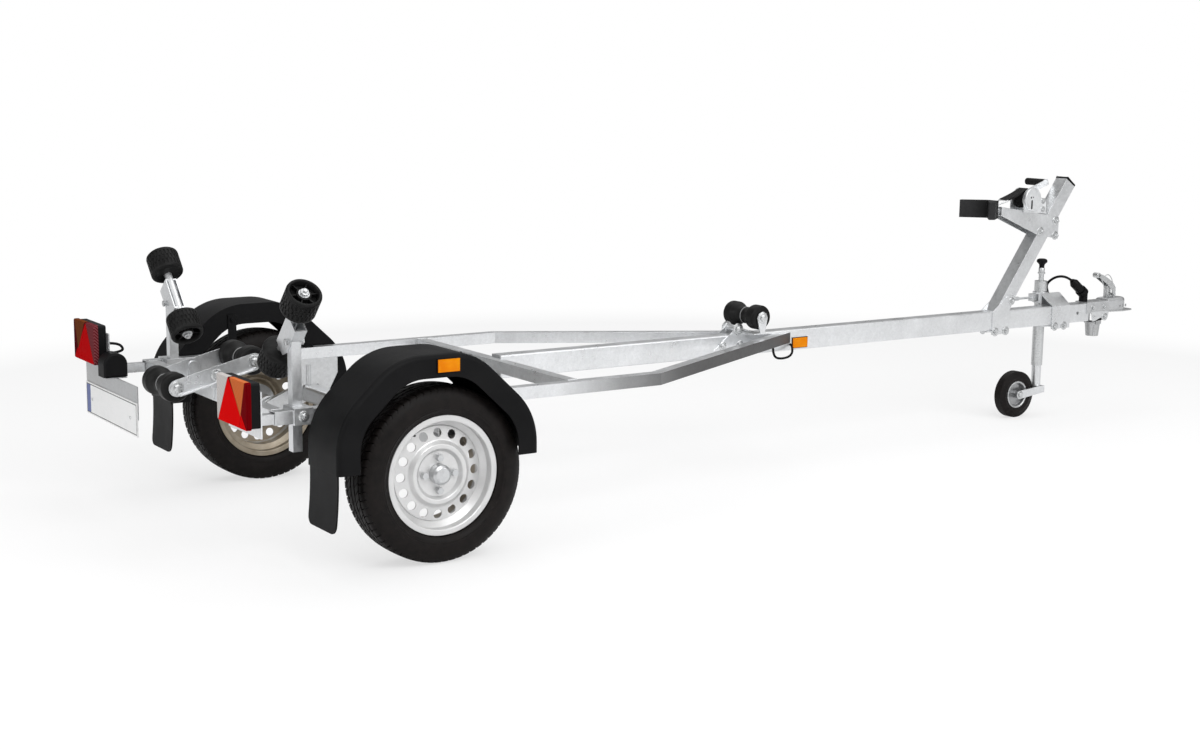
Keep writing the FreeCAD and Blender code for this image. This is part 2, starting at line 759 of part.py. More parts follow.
def wheel_hub(side, sign):
    root = "(axle_tube_length / 2 + arm_thickness + moving_gap - track / 2)"
    seat = "(disc_offset - rim_sheet)"
    bore = "(stub_radius + running_gap)"
    points = [(bore, root), ("hub_radius", root), ("hub_radius", f"{seat} - hub_flange_thickness"),
              ("hub_flange_radius", f"{seat} - hub_flange_thickness"), ("hub_flange_radius", seat),
              ("hub_cap_radius", seat), ("hub_cap_radius",
                                         f"{seat} + hub_cap_shoulder_share * hub_cap_length"),
              ("hub_cap_face_share * hub_cap_radius", f"{seat} + hub_cap_length"),
              ("0", f"{seat} + hub_cap_length"),
              ("0", f"{seat} + hub_bore_share * hub_cap_length"),
              (bore, f"{seat} + hub_bore_share * hub_cap_length")]
    blank = turned(f"hub_{side}_ring", points)
    round_edges(blank, f"hub_{side}_cap", "hub_cap_radius / 5",
                rim_at(("hub_cap_radius", f"{seat} + hub_cap_shoulder_share * hub_cap_length")))
    round_edges(blank, f"hub_{side}_crown", "hub_cap_radius / 6",
                rim_at(("hub_cap_face_share * hub_cap_radius", f"{seat} + hub_cap_length")))
    nuts = []
    for index in range(round(value("stud_count"))):
        angle = math.radians(FULL_TURN * index / value("stud_count"))
        nut = doc.addObject("Part::Prism", f"hub_{side}_nut_{index}")
        nut.Polygon = 6
        bind(nut, "Circumradius", "nut_radius")
        bind(nut, "Height", "nut_height")
        nuts.append(place(nut, (f"{math.cos(angle):.6f} * stud_ring_radius",
                                f"{math.sin(angle):.6f} * stud_ring_radius",
                                "disc_offset")))
        stud = rod(f"hub_{side}_stud_{index}", "nut_radius / 2", "nut_height + rim_sheet", (
            f"{math.cos(angle):.6f} * stud_ring_radius", f"{math.sin(angle):.6f} * stud_ring_radius", seat))
        nuts.append(stud)
    finish(fuse(f"hub_{side}", [blank] + nuts), f"wheel_hub_{side}", turn((1, 0, 0), -sign * QUARTER_TURN),
           ("0", f"{sign} * track / 2", "axle_height"))


# Mudguards: an arch of five flats with a skirt down each side

def arch_points(depth, foot="guard_foot"):
    """The arch's outline, drawn in from the outer one by a depth."""
    depth = f"({depth})"
    shoulder = f"{depth} * tan((90 - guard_slope) / 2)"
    knee = f"{depth} * tan(guard_slope / 2)"
    rear_knee = "((guard_top - guard_rear_shoulder) / tan(guard_slope) - guard_rear)"
    front_knee = "(guard_front - (guard_top - guard_front_shoulder) / tan(guard_slope))"
    return [(f"{depth} - guard_rear", foot),
            (f"{depth} - guard_rear", f"guard_rear_shoulder - {shoulder}"),
            (f"{rear_knee} + {knee}", f"guard_top - {depth}"),
            (f"{front_knee} - {knee}", f"guard_top - {depth}"),
            (f"guard_front - {depth}", f"guard_front_shoulder - {shoulder}"),
            (f"guard_front - {depth}", foot)]


def arch(name, outer, inner, foot, width):
    """A rounded arch between two depths."""
    high, low = arch_points(outer, foot), arch_points(inner, foot)
    body = slab(name, high + low[::-1], width)
    round_edges(body, name + "_outer_bends", f"guard_bend_radius - ({outer})", upright_edge_at(high[1:5]))
    round_edges(body, name + "_inner_bends", f"guard_bend_radius - ({inner})", upright_edge_at(low[1:5]))
    return body


def soften_crease(body, name, inset, sign):
    """Rounds the arch's outer edge on the side away from the frame."""
    reach = value("cut_overrun")
    half = value(f"guard_width / 2 - ({inset})")

    def chosen(edge):
        bounds = edge.BoundBox
        if bounds.ZLength > reach or abs(bounds.ZMax * sign + half) > reach:
            return False
        mid = edge.valueAt((edge.FirstParameter + edge.LastParameter) / 2)
        depth = min(mid.x + value("guard_rear"), value("guard_front") - mid.x, value("guard_top") - mid.y)
        return depth < value("guard_skirt") / 2 and mid.y > value("guard_foot") + reach

    return round_edges(body, name, f"guard_edge_radius - ({inset})", chosen)


def mudguard(side, sign):
    shell = arch(f"guard_{side}_shell", "0", "guard_skirt", "guard_foot", "guard_width")
    soften_crease(shell, f"guard_{side}_crease", "0", sign)
    hollow = arch(f"guard_{side}_hollow", "guard_sheet", "guard_skirt + guard_sheet",
                  "guard_foot - guard_sheet",
                  "guard_width - 2 * guard_sheet")
    soften_crease(hollow, f"guard_{side}_inner_crease", "guard_sheet", sign)
    for piece in (shell, hollow):
        place(piece, ("0", f"{sign} * (guard_side - guard_width / 2)", "0"), SIDE_VIEW)
    return cut(f"guard_{side}", shell, [hollow])


def mudflaps():
    pieces = []
    for side, sign in SIDES:
        centre = f"{sign} * (guard_side - guard_width / 2)"
        pieces.append(box(f"flap_{side}", ("flap_thickness", "flap_width", "flap_length + flap_lap"),
                          ("guard_sheet - guard_rear", f"{centre} - flap_width / 2",
                           "guard_foot - flap_length")))
    finish(group("flap_pair", pieces), "mudflaps")


def guard_stays():
    """Two strips a side, from the rail's top up to the mudguard's inner skirt."""
    pieces = []
    for side, sign in SIDES:
        for end, place_at in (("rear", "-stay_reach"), ("front", "stay_reach - stay_width")):
            inner = "(rail_centre - rail_size / 2)"
            skirt = "(guard_side - guard_width - stay_thickness - soft_gap)"
            foot = box(f"stay_{side}_{end}_foot", ("stay_width", f"{skirt} - {inner}", "stay_thickness"),
                       (place_at, f"{sign} * ({skirt} + {inner}) / 2 - ({skirt} - {inner}) / 2",
                        "rail_top"))
            leg = box(f"stay_{side}_{end}_leg",
                      ("stay_width", "stay_thickness", "guard_top - guard_skirt / 2 - rail_top"),
                      (place_at, f"{sign} * ({skirt} + stay_thickness / 2) - stay_thickness / 2",
                       "rail_top"))
            pieces.append(fuse(f"stay_{side}_{end}", [foot, leg]))
    finish(group("stay_set", pieces), "guard_stays")


# Side roller posts, with the pin that each rocker tilts on

def roller_posts():
    pieces = []
    inner = "(rail_centre - rail_size / 2 - post_size)"
    for side, sign in SIDES:
        low = f"{sign} * ({inner} + post_size / 2)"
        tube = box(f"post_{side}_tube", ("post_size", "post_size", "post_top - post_foot"),
                   ("-post_place - post_size / 2", f"{low} - post_size / 2", "post_foot"))
        bore = box(f"post_{side}_bore", ("post_size - 2 * post_wall", "post_size - 2 * post_wall",
                                         "post_top - post_foot - post_wall + cut_overrun"),
                   ("-post_place - post_size / 2 + post_wall", f"{low} - post_size / 2 + post_wall",
                    "post_foot - cut_overrun"))
        pin_length = "(post_size + 4 * rocker_sheet + 2 * soft_gap)"
        pin = rod(f"post_{side}_pin", "post_pin_radius", pin_length,
                  (f"-post_place - {pin_length} / 2", low, "post_top - post_pivot_drop"), ALONG_X)
        pieces.append(fuse(f"post_{side}", [cut(f"post_{side}_hollow", tube, [bore]), pin]))
    finish(group("post_pair", pieces), "roller_posts")


def post_clamps():
    """A strap round each rail and post, closed across the post's inner face."""
    pieces = []
    for side, sign in SIDES:
        long = "(clamp_rear - clamp_front)"
        rail_outer = "(rail_centre + rail_size / 2)"
        post_inner = "(rail_centre - rail_size / 2 - post_size)"
        tall = "(rail_size + 2 * clamp_thickness)"
        wide = f"({rail_outer} - {post_inner} + 2 * clamp_thickness)"
        mid = f"{sign} * ({rail_outer} + {post_inner}) / 2"
        blank = box(f"clamp_{side}_blank", (long, wide, tall),
                    ("-clamp_rear", f"{mid} - {wide} / 2", "rail_top - rail_size - clamp_thickness"))
        rail_void = box(f"clamp_{side}_rail_void", (f"{long} + 2 * cut_overrun", "rail_size", "rail_size"),
                        ("-clamp_rear - cut_overrun", f"{sign} * rail_centre - rail_size / 2",
                         "rail_top - rail_size"))
        post_void = box(f"clamp_{side}_post_void", ("post_size", "post_size", f"{tall} + 2 * cut_overrun"),
                        ("-post_place - post_size / 2",
                         f"{sign} * ({post_inner} + post_size / 2) - post_size / 2",
                         "rail_top - rail_size - clamp_thickness - cut_overrun"))
        pieces.append(cut(f"clamp_{side}", blank, [rail_void, post_void]))
    finish(group("clamp_pair", pieces), "post_clamps")


# Side rockers: a folded channel on the post's pin and a rod with a roller on each end

POST_LINE = "(rail_centre - rail_size / 2 - post_size / 2)"
PIVOT_HEIGHT = "(post_top - post_pivot_drop)"


def rocker_turn(sign):
    """Drawing X runs outwards up the rod, drawing Y away from the post."""
    tilted = turn((1, 0, 0), value("rocker_tilt")).multiply(REAR_VIEW)
    return tilted if sign > 0 else turn((0, 0, 1), 2 * QUARTER_TURN).multiply(tilted)


def rocker(side, sign):
    gap = "(post_size + 2 * soft_gap)"
    half_long = "(rocker_cheek_length / 2)"
    low, high = "-rocker_cheek_low", "rocker_cheek_high"
    nose = "(rocker_cheek_low * 2)"
    points = [(f"-{half_long}", "0"), (f"{nose} - {half_long}", low), (half_long, low), (half_long, high),
              (f"-{half_long}", high)]
    cheeks = []
    for end in (-1, 1):
        cheek = slab(f"rocker_{side}_cheek_{'rear' if end < 0 else 'front'}", points, "rocker_sheet")
        cheeks.append(place(cheek, ("0", "0", f"{end} * ({gap} + rocker_sheet) / 2")))
    web = box(f"rocker_{side}_web", (f"{half_long} - rocker_web_start", "rocker_sheet",
                                     f"{gap} + 2 * rocker_sheet"),
              ("rocker_web_start", low, f"-{gap} / 2 - rocker_sheet"))
    plates = [box(f"rocker_{side}_plate_{index}",
                  ("rocker_end_plate", f"rocker_cheek_high - rocker_rod_rise / 2", gap),
                  (spot, "rocker_rod_rise / 2", f"-{gap} / 2"))
              for index, spot in enumerate((f"-{half_long}", f"{half_long} - rocker_end_plate"))]
    reach = "(rocker_reach + side_roller_length / 2)"
    shaft = rod(f"rocker_{side}_rod", "rocker_rod_radius", f"2 * {reach}",
                (f"-{reach}", "rocker_rod_rise", "0"), ALONG_X)
    hole = rod(f"rocker_{side}_hole", "post_pin_radius + running_gap", f"{gap} + 4 * rocker_sheet",
               ("0", "0", f"-{gap} / 2 - 2 * rocker_sheet"))
    blank = fuse(f"rocker_{side}_blank", cheeks + [web, shaft] + plates)
    finish(cut(f"rocker_{side}_part", blank, [hole]), f"side_rocker_{side}", rocker_turn(sign),
           ("-post_place", f"{sign} * {POST_LINE}", PIVOT_HEIGHT))


def side_roller(side, sign, end, outward):
    """A rubber roller, hollow at its free end, turning on the rocker's rod."""
    half = "side_roller_length / 2"
    bore = "(rocker_rod_radius + running_gap)"
    cup = f"({half} - side_roller_cup)"
    rim = "(side_roller_radius - side_roller_wall)"
    points = [(bore, f"-{half}"), ("side_roller_radius", f"-{half}"), ("side_roller_radius", half),
              (rim, half), (rim, cup),
              ("side_roller_hub", cup), ("side_roller_hub", f"{half} - side_roller_cup / 3"),
              (bore, f"{half} - side_roller_cup / 3")]
    body = turned(f"roller_{side}_{end}_ring", points)
    round_edges(body, f"roller_{side}_{end}_shoulder", "side_roller_edge",
                rim_at(("side_roller_radius", f"-{half}"), ("side_roller_radius", half)))
    round_edges(body, f"roller_{side}_{end}_mouth", "side_roller_edge / 4", rim_at((rim, half)))
    spokes = []
    spoke_depth = "(side_roller_cup * side_roller_spoke_share)"
    for index in range(round(value("side_roller_spokes") / 2)):
        angle = FULL_TURN / value("side_roller_spokes") * index
        spin = turn((0, 0, 1), angle)
        spokes.append(box(f"roller_{side}_{end}_spoke_{index}",
                          (f"2 * {rim} + 2 * running_gap", "side_roller_spoke", spoke_depth),
                          (f"({rim} + running_gap) * {-math.cos(math.radians(angle)):.6f}"
                           f" + side_roller_spoke / 2 * {math.sin(math.radians(angle)):.6f}",
                           f"({rim} + running_gap) * {-math.sin(math.radians(angle)):.6f}"
                           f" - side_roller_spoke / 2 * {math.cos(math.radians(angle)):.6f}",
                           f"{cup} - running_gap"), spin))
    bore_again = rod(f"roller_{side}_{end}_bore", bore, "side_roller_length + 2 * cut_overrun",
                     ("0", "0", f"-{half} - cut_overrun"))
    body = cut(f"roller_{side}_{end}_part", fuse(f"roller_{side}_{end}_blank", [body] + spokes),
               [bore_again])
    facing = ALONG_X if outward > 0 else turn((0, 1, 0), -QUARTER_TURN)
    turn_all = rocker_turn(sign)
    tilt = "rocker_tilt"
    across = f"({outward} * rocker_reach * cos({tilt}) - rocker_rod_rise * sin({tilt}))"
    rise = f"({outward} * rocker_reach * sin({tilt}) + rocker_rod_rise * cos({tilt}))"
    finish(body, f"side_roller_{side}_{end}", turn_all.multiply(facing),
           ("-post_place", f"{sign} * ({POST_LINE} + {across})", f"{PIVOT_HEIGHT} + {rise}"))


# Keel rollers: a waisted rubber roller

def keel_roller(label, at):
    half = "keel_roller_length / 2"
    bore = "(keel_shaft_radius + running_gap)"
    ring = "keel_roller_rim"
    groove = "keel_roller_groove / 2"
    points = [(bore, f"-{half}"), ("keel_roller_radius", f"-{half}"),
              ("keel_roller_radius", f"-{half} + {ring}"),
              ("keel_roller_waist", f"-{groove}"), ("keel_roller_waist", groove),
              ("keel_roller_radius", f"{half} - {ring}"), ("keel_roller_radius", half), (bore, half)]
    body = turned(label + "_ring", points)
    round_edges(body, label + "_end", "keel_roller_edge",
                rim_at(("keel_roller_radius", f"-{half}"), ("keel_roller_radius", half)))
    round_edges(body, label + "_lobe", "keel_roller_lobe_radius",
                rim_at(("keel_roller_radius", f"-{half} + {ring}"),
                       ("keel_roller_radius", f"{half} - {ring}")))
    round_edges(body, label + "_groove", "keel_roller_waist_radius",
                rim_at(("keel_roller_waist", f"-{groove}"), ("keel_roller_waist", groove)))
    finish(body, label, ALONG_Y, at)


def keel_rocker():
    """Two arms with a roller shaft across each end, hanging tail down on its stop."""
    half = "keel_rocker_reach"
    deep = "keel_arm_depth / 2"
    pieces = []
    for side, sign in SIDES:
        points = [(f"-{half}", f"-{deep}"), (half, f"-{deep}"), (half, deep), (f"-{half}", deep)]
        web = slab(f"keel_arm_{side}_web", points, "keel_arm_sheet")
        mid = f"{sign} * (keel_arm_span / 2 - keel_arm_sheet / 2)"
        place(web, ("0", mid, "0"), SIDE_VIEW)
        ends = [rod(f"keel_arm_{side}_{name}", deep, "keel_arm_sheet",
                    (spot, f"{mid} - keel_arm_sheet / 2", "0"), ALONG_Y)
                for name, spot in (("tail", f"-{half}"), ("head", half))]
        lip = box(f"keel_arm_{side}_lip", (f"2 * {half}", "keel_arm_lip", "keel_arm_sheet"),
                  (f"-{half}",
                   f"{sign} * (keel_arm_span / 2 - keel_arm_sheet + keel_arm_lip / 2) - keel_arm_lip / 2",
                   f"-{deep}"))
        pieces += [web, lip] + ends
    shafts = [rod(f"keel_shaft_{name}", "keel_shaft_radius", "keel_arm_span + keel_arm_sheet",
                  (spot, "-keel_arm_span / 2 - keel_arm_sheet / 2", "0"), ALONG_Y)
              for name, spot in (("tail", f"-{half}"), ("head", half))]
    hole = rod("keel_arm_hole", "post_pin_radius + running_gap", "2 * keel_arm_span",
               ("0", "-keel_arm_span", "0"), ALONG_Y)
    finish(cut("keel_rocker_part", fuse("keel_rocker_blank", pieces + shafts), [hole]), "keel_rocker",
           turn((0, 1, 0), -value("keel_rocker_tilt")),
           ("-keel_pivot_place", "0", "(rail_top + keel_pivot_rise)"))


def keel_ears():
    """The two ears on the rear cross member that carry the keel rocker's pins."""
    pieces = []
    outer = "(keel_arm_span / 2 - keel_arm_sheet - soft_gap)"
    for side, sign in SIDES:
        mid = f"{sign} * ({outer} - keel_ear_sheet / 2)"
        cheek = box(f"ear_{side}_cheek", ("keel_ear_width", "keel_ear_sheet", "keel_pivot_rise"),
                    ("-keel_pivot_place - keel_ear_width / 2", f"{mid} - keel_ear_sheet / 2", "rail_top"))
        head = rod(f"ear_{side}_head", "keel_ear_width / 2", "keel_ear_sheet",
                   ("-keel_pivot_place", f"{mid} - keel_ear_sheet / 2", "(rail_top + keel_pivot_rise)"),
                   ALONG_Y)
        foot_mid = f"{sign} * ({outer} - keel_ear_foot / 2)"
        foot = box(f"ear_{side}_foot", ("rail_size + keel_ear_sheet", "keel_ear_foot", "keel_ear_sheet"),
                   ("-rail_rear - keel_ear_sheet", f"{foot_mid} - keel_ear_foot / 2", "rail_top"))
        tail = box(f"ear_{side}_tail", ("keel_ear_sheet", "keel_ear_foot", "rail_size"),
                   ("-rail_rear - keel_ear_sheet", f"{foot_mid} - keel_ear_foot / 2",
                    "rail_top - rail_size + keel_ear_sheet"))
        pin_long = "(keel_ear_sheet + 2 * keel_arm_sheet + keel_arm_lip / 2)"
        pin = rod(f"ear_{side}_pin", "post_pin_radius", pin_long,
                  ("-keel_pivot_place",
                   f"{sign} * ({outer} - keel_ear_sheet + {pin_long} / 2) - {pin_long} / 2",
                   "(rail_top + keel_pivot_rise)"), ALONG_Y)
        pieces.append(fuse(f"ear_{side}", [cheek, head, foot, tail, pin]))
    finish(group("ear_pair", pieces), "keel_rocker_ears")


def keel_saddle():
    """Two bolted plates on the beam's sides and the yoke that holds the roller ahead of them."""
    pieces = []
    for side, sign in SIDES:
        points = [("vee_rear", "vee_foot"), ("vee_front", "vee_foot"), ("vee_front", "beam_top"),
                  ("yoke_pivot_place + vee_head_radius", "(beam_top + yoke_pivot_rise)"),
                  ("yoke_pivot_place", "(beam_top + yoke_pivot_rise) + vee_head_radius"),
                  ("yoke_pivot_place - vee_head_radius", "(beam_top + yoke_pivot_rise)")]
        plate = slab(f"vee_{side}_plate", points, "vee_sheet")
        pieces.append(place(plate, ("0", f"{sign} * (beam_width / 2 + vee_sheet / 2)", "0"), SIDE_VIEW))
    pieces.append(rod("vee_bolt", "keel_shaft_radius", "beam_width + 4 * vee_sheet",
                      ("yoke_pivot_place", "-beam_width / 2 - 2 * vee_sheet",
                       "(beam_top + yoke_pivot_rise)"), ALONG_Y))
    outer = "(keel_roller_length / 2 + moving_gap / 2)"
    floor = "(beam_top + yoke_sheet)"
    for side, sign in SIDES:
        points = [("yoke_place - yoke_head_radius / 3", floor),
                  ("yoke_place + yoke_head_radius / 2", floor),
                  ("yoke_place + yoke_head_radius", "yoke_height"),
                  ("yoke_place + yoke_diagonal_share * yoke_head_radius",
                   "yoke_height + yoke_diagonal_share * yoke_head_radius"),
                  ("yoke_place", "yoke_height + yoke_head_radius"),
                  ("yoke_place - yoke_diagonal_share * yoke_head_radius",
                   "yoke_height + yoke_diagonal_share * yoke_head_radius"),
                  ("yoke_place - yoke_head_radius", "yoke_height")]
        cheek = slab(f"yoke_{side}_cheek", points, "yoke_sheet")
        pieces.append(place(cheek, ("0", f"{sign} * ({outer} + yoke_sheet / 2)", "0"), SIDE_VIEW))
        ear = slab(f"yoke_{side}_ear", [("yoke_pivot_place - vee_head_radius / 2", floor),
                                        ("yoke_place", floor),
                                        ("yoke_place", f"{floor} + yoke_sheet"),
                                        ("yoke_pivot_place + vee_head_radius / 2",
                                         "(beam_top + yoke_pivot_rise) + vee_head_radius / 2"),
                                        ("yoke_pivot_place - vee_head_radius / 2",
                                         "(beam_top + yoke_pivot_rise) + vee_head_radius / 2")],
                   "yoke_sheet")
        pieces.append(place(ear, ("0", f"{sign} * (beam_width / 2 - yoke_sheet / 2)", "0"), SIDE_VIEW))
    pieces.append(box("yoke_floor", ("2 * yoke_head_radius", f"2 * {outer}", "yoke_sheet"),
                      ("yoke_place - 3 * yoke_head_radius / 2", f"-{outer}", floor)))
    pieces.append(rod("yoke_shaft", "keel_shaft_radius", f"2 * {outer} + 4 * yoke_sheet",
                      ("yoke_place", f"-{outer} - 2 * yoke_sheet", "yoke_height"), ALONG_Y))
    finish(fuse("keel_saddle_part", pieces), "keel_roller_bracket")


# Winch post: a leaning square tube in a shoe that is bolted round the beam

def winch_post():
    half = "mast_size / 2"
    low = "(mast_size / 2 / tan(mast_lean))"
    outer = [("0", f"-{half}"), ("mast_length", f"-{half}"), ("mast_length", half), ("0", half)]
    tube = slab("mast_tube", [(f"{low}", f"-{half}"), outer[1], outer[2], (f"-{low}", half)], "mast_size")
    bore = box("mast_bore", ("mast_length", "mast_size - 2 * mast_wall", "mast_size - 2 * mast_wall"),
               ("mast_size", "mast_wall - mast_size / 2", "mast_wall - mast_size / 2"))
    finish(cut("mast", tube, [bore]), "winch_post",
           turn((0, 1, 0), -value("mast_lean")).multiply(SIDE_VIEW),
           ("mast_foot_place", "0", "beam_top"))


def post_shoe():
    pieces = []
    floor = "(beam_top - beam_height - shoe_drop)"
    for side, sign in SIDES:
        rise = "mast_size"
        slide = f"{rise} / tan(mast_lean)"
        points = [("shoe_rear", floor), ("shoe_front", floor), ("shoe_front", "beam_top"),
                  (f"mast_foot_place + mast_size / 2 + {slide}", f"beam_top + {rise}"),
                  (f"mast_foot_place - mast_size / 4 + {slide}", f"beam_top + {rise}"),
                  ("shoe_rear", "beam_top")]
        plate = slab(f"shoe_{side}_plate", points, "shoe_sheet")
        pieces.append(place(plate, ("0", f"{sign} * (beam_width / 2 + shoe_sheet / 2)", "0"), SIDE_VIEW))
    pieces.append(box("shoe_pad", ("shoe_front - shoe_rear + 4 * shoe_pad", "beam_width", "shoe_pad"),
                      ("shoe_rear - 4 * shoe_pad", "-beam_width / 2", "beam_top - beam_height - shoe_pad")))
    for index, spot in enumerate(("shoe_rear + shoe_drop", "shoe_front - shoe_drop")):
        pieces.append(rod(f"shoe_bolt_{index}", "shoe_pad", "beam_width + 6 * shoe_sheet",
                          (spot, "-beam_width / 2 - 3 * shoe_sheet", "beam_top - beam_height - shoe_pad"),
                          ALONG_Y))
    finish(fuse("shoe", pieces), "post_shoe")


def bow_arm():
    """A folded arm, open below, bolted to the post's sides, with a round stub at its tip."""
    points = [("bow_arm_tip_place", "bow_arm_tip_foot"), ("bow_arm_knee_place", "bow_arm_knee_foot"),
              ("bow_arm_front", "bow_arm_front_foot"), ("bow_arm_front", "bow_arm_front_top"),
              ("bow_arm_tip_place", "bow_arm_tip_top")]
    blank = slab("bow_arm_blank", points, "mast_size + 2 * bow_arm_sheet")
    place(blank, ("0", "0", "0"), SIDE_VIEW)
    inner = [(f"bow_arm_tip_place + bow_arm_sheet", "bow_arm_tip_foot - mast_size"),
             ("bow_arm_knee_place", "bow_arm_knee_foot - mast_size"),
             ("bow_arm_front + mast_size", "bow_arm_front_foot - mast_size"),
             ("bow_arm_front + mast_size",
              f"bow_arm_front_top - bow_arm_top_sheet - mast_size * (bow_arm_tip_top - bow_arm_front_top)"
              " / (bow_arm_front - bow_arm_tip_place)"),
             ("bow_arm_tip_place + bow_arm_sheet", f"bow_arm_tip_top - bow_arm_top_sheet")]
    hollow = slab("bow_arm_hollow", inner, "mast_size")
    place(hollow, ("0", "0", "0"), SIDE_VIEW)
    mast_void = box("bow_arm_mast_void", ("mast_length", "mast_size", "mast_size"),
                    ("mast_foot_place", "-mast_size / 2", "beam_top"))
    tilt = turn((0, 1, 0), -value("mast_lean")).multiply(SIDE_VIEW)
    normal_x = "(mast_size / 2 * sin(mast_lean))"
    normal_z = "(mast_size / 2 * cos(mast_lean))"
    place(mast_void, (f"mast_foot_place + {normal_x}", "mast_size / 2", f"beam_top - {normal_z}"), tilt)
    channel = cut("bow_arm_channel", blank, [hollow, mast_void])
    stub = rod("bow_arm_stub", "bow_stub_radius", "bow_arm_tip_place + bow_arm_sheet - bow_stub_end",
               ("bow_stub_end", "0", "bow_stub_height"), ALONG_X)
    bolts = []
    for index, (spot, level) in enumerate((("bow_arm_front - mast_size / 3",
                                            "bow_arm_front_top - mast_size / 4"),
                                           ("bow_arm_front - mast_size / 3",
                                            "bow_arm_front_foot + mast_size / 4"),
                                           ("bow_arm_knee_place + mast_size / 4",
                                            "bow_arm_knee_foot + mast_size / 4"))):
        for side, sign in SIDES:
            bolts.append(rod(f"bow_arm_bolt_{index}_{side}", "bow_bolt_radius", "bow_bolt_length",
                             (spot,
                              f"{sign} * (mast_size / 2 + bow_bolt_length) - bow_bolt_length / 2",
                              level), ALONG_Y))
    finish(fuse("bow_arm_part", [channel, stub] + bolts), "bow_arm")


def bow_block():
    """A V of rubber that the boat's stem is pulled into."""
    wall = "bow_block_wall"
    points = [("bow_block_apex", "-bow_block_half / 3"), ("bow_block_apex", "bow_block_half / 3"),
              ("bow_block_tip + bow_block_wall", "bow_block_half"),
              ("bow_block_tip", f"bow_block_half - {wall} / 2"),
              ("bow_block_apex - bow_block_web", "0"), ("bow_block_tip", f"-bow_block_half + {wall} / 2"),
              ("bow_block_tip + bow_block_wall", "-bow_block_half")]
    body = slab("bow_block_vee", points, "bow_block_height")
    place(body, ("0", "0", "bow_block_centre"))
    socket = rod("bow_block_socket", "bow_stub_radius", "bow_stub_radius * 2",
                 ("bow_stub_end", "0", "bow_stub_height"), ALONG_X)
    finish(cut("bow_block_part", body, [socket]), "bow_block")


# Winch: a folded frame behind the post, a drum with its strap, and a crank on the left

CHEEK_IN = "(drum_half_width + drum_flange_sheet + winch_cheek_gap / 2)"


def winch_frame():
    pieces = []
    low = "(bow_arm_front_top + (bow_arm_front - drum_place) * (bow_arm_tip_top - bow_arm_front_top)" \
          " / (bow_arm_front - bow_arm_tip_place))"
    for side, sign in SIDES:
        points = [("winch_cheek_rear", low), ("winch_cheek_front", f"{low} - bow_arm_sheet * 2"),
                  ("winch_cheek_front", f"{low} + drum_flange_radius"),
                  ("drum_place + drum_flange_radius / 2", "drum_height + drum_flange_radius / 2"),
                  ("drum_place", "drum_height + drum_flange_radius / 2"),
                  ("winch_cheek_rear", "drum_height")]
        cheek = slab(f"winch_{side}_cheek", points, "winch_cheek_sheet")
        place(cheek, ("0", f"{sign} * ({CHEEK_IN} + winch_cheek_sheet / 2)", "0"), SIDE_VIEW)
        hole = rod(f"winch_{side}_hole", "drum_shaft_radius + running_gap", "4 * winch_cheek_sheet",
                   ("drum_place", f"{sign} * ({CHEEK_IN} + winch_cheek_sheet / 2) - 2 * winch_cheek_sheet",
                    "drum_height"),
                   ALONG_Y)
        pieces.append(cut(f"winch_{side}_plate", cheek, [hole]))
    floor = box("winch_floor", ("winch_cheek_front - drum_place", f"2 * {CHEEK_IN}", "winch_cheek_sheet"),
                ("drum_place", f"-{CHEEK_IN}", low))
    bridge = box("winch_bridge", ("winch_cheek_sheet * 2", f"2 * {CHEEK_IN}", "drum_flange_radius"),
                 ("winch_cheek_front - winch_cheek_sheet * 2", f"-{CHEEK_IN}", low))
    finish(fuse("winch_frame_part", pieces + [floor, bridge]), "winch_frame")


def winch_guard():
    """A shallow round cover on the near cheek, over the end of the drum's shaft."""
    sheet_g = "winch_cheek_sheet"
    points = [("0", f"winch_guard_depth - {sheet_g}"),
              ("winch_guard_radius - winch_guard_wall", f"winch_guard_depth - {sheet_g}"),
              ("winch_guard_radius - winch_guard_wall", "0"), ("winch_guard_radius", "0"),
              ("winch_guard_radius", "winch_guard_depth"), ("0", "winch_guard_depth")]
    body = turned("winch_guard_ring", points)
    round_edges(body, "winch_guard_rim", "winch_guard_edge",
                rim_at(("winch_guard_radius", "winch_guard_depth")))
    near = turn((1, 0, 0), QUARTER_TURN)
    finish(body, "winch_guard", near, ("drum_place", f"-{CHEEK_IN} - winch_cheek_sheet", "drum_height"))


def strap_run():
    """The strap's straight run off the roll to its hook, and the hook on the bow arm's tip."""
    top, thin = "(drum_height + strap_roll_radius + strap_clear)", "strap_thickness"
    points = [("drum_place - strap_run_start", top), ("strap_hook_place", "strap_hook_height"),
              ("strap_hook_place", f"strap_hook_height - {thin}"),
              ("drum_place - strap_run_start", f"{top} - {thin}")]
    run = slab("strap_run_plate", points, "strap_width")
    finish(run, "strap_run", SIDE_VIEW)
    hook = slab("strap_hook_plate", [("strap_hook_place + 2 * strap_thickness",
                                      f"strap_hook_height - {thin}"),
                                     ("strap_hook_place - 2 * strap_thickness",
                                      f"strap_hook_height - {thin}"),
                                     ("bow_arm_tip_place", "bow_arm_tip_top + strap_hook_thick"),
                                     ("bow_arm_tip_place", "bow_arm_tip_top"),
                                     ("bow_arm_tip_place + strap_hook_reach", "bow_arm_tip_top"),
                                     ("strap_hook_place + 2 * strap_thickness",
                                      "strap_hook_height - 3 * strap_thickness")],
                "strap_hook_width")
    finish(hook, "strap_hook", SIDE_VIEW)


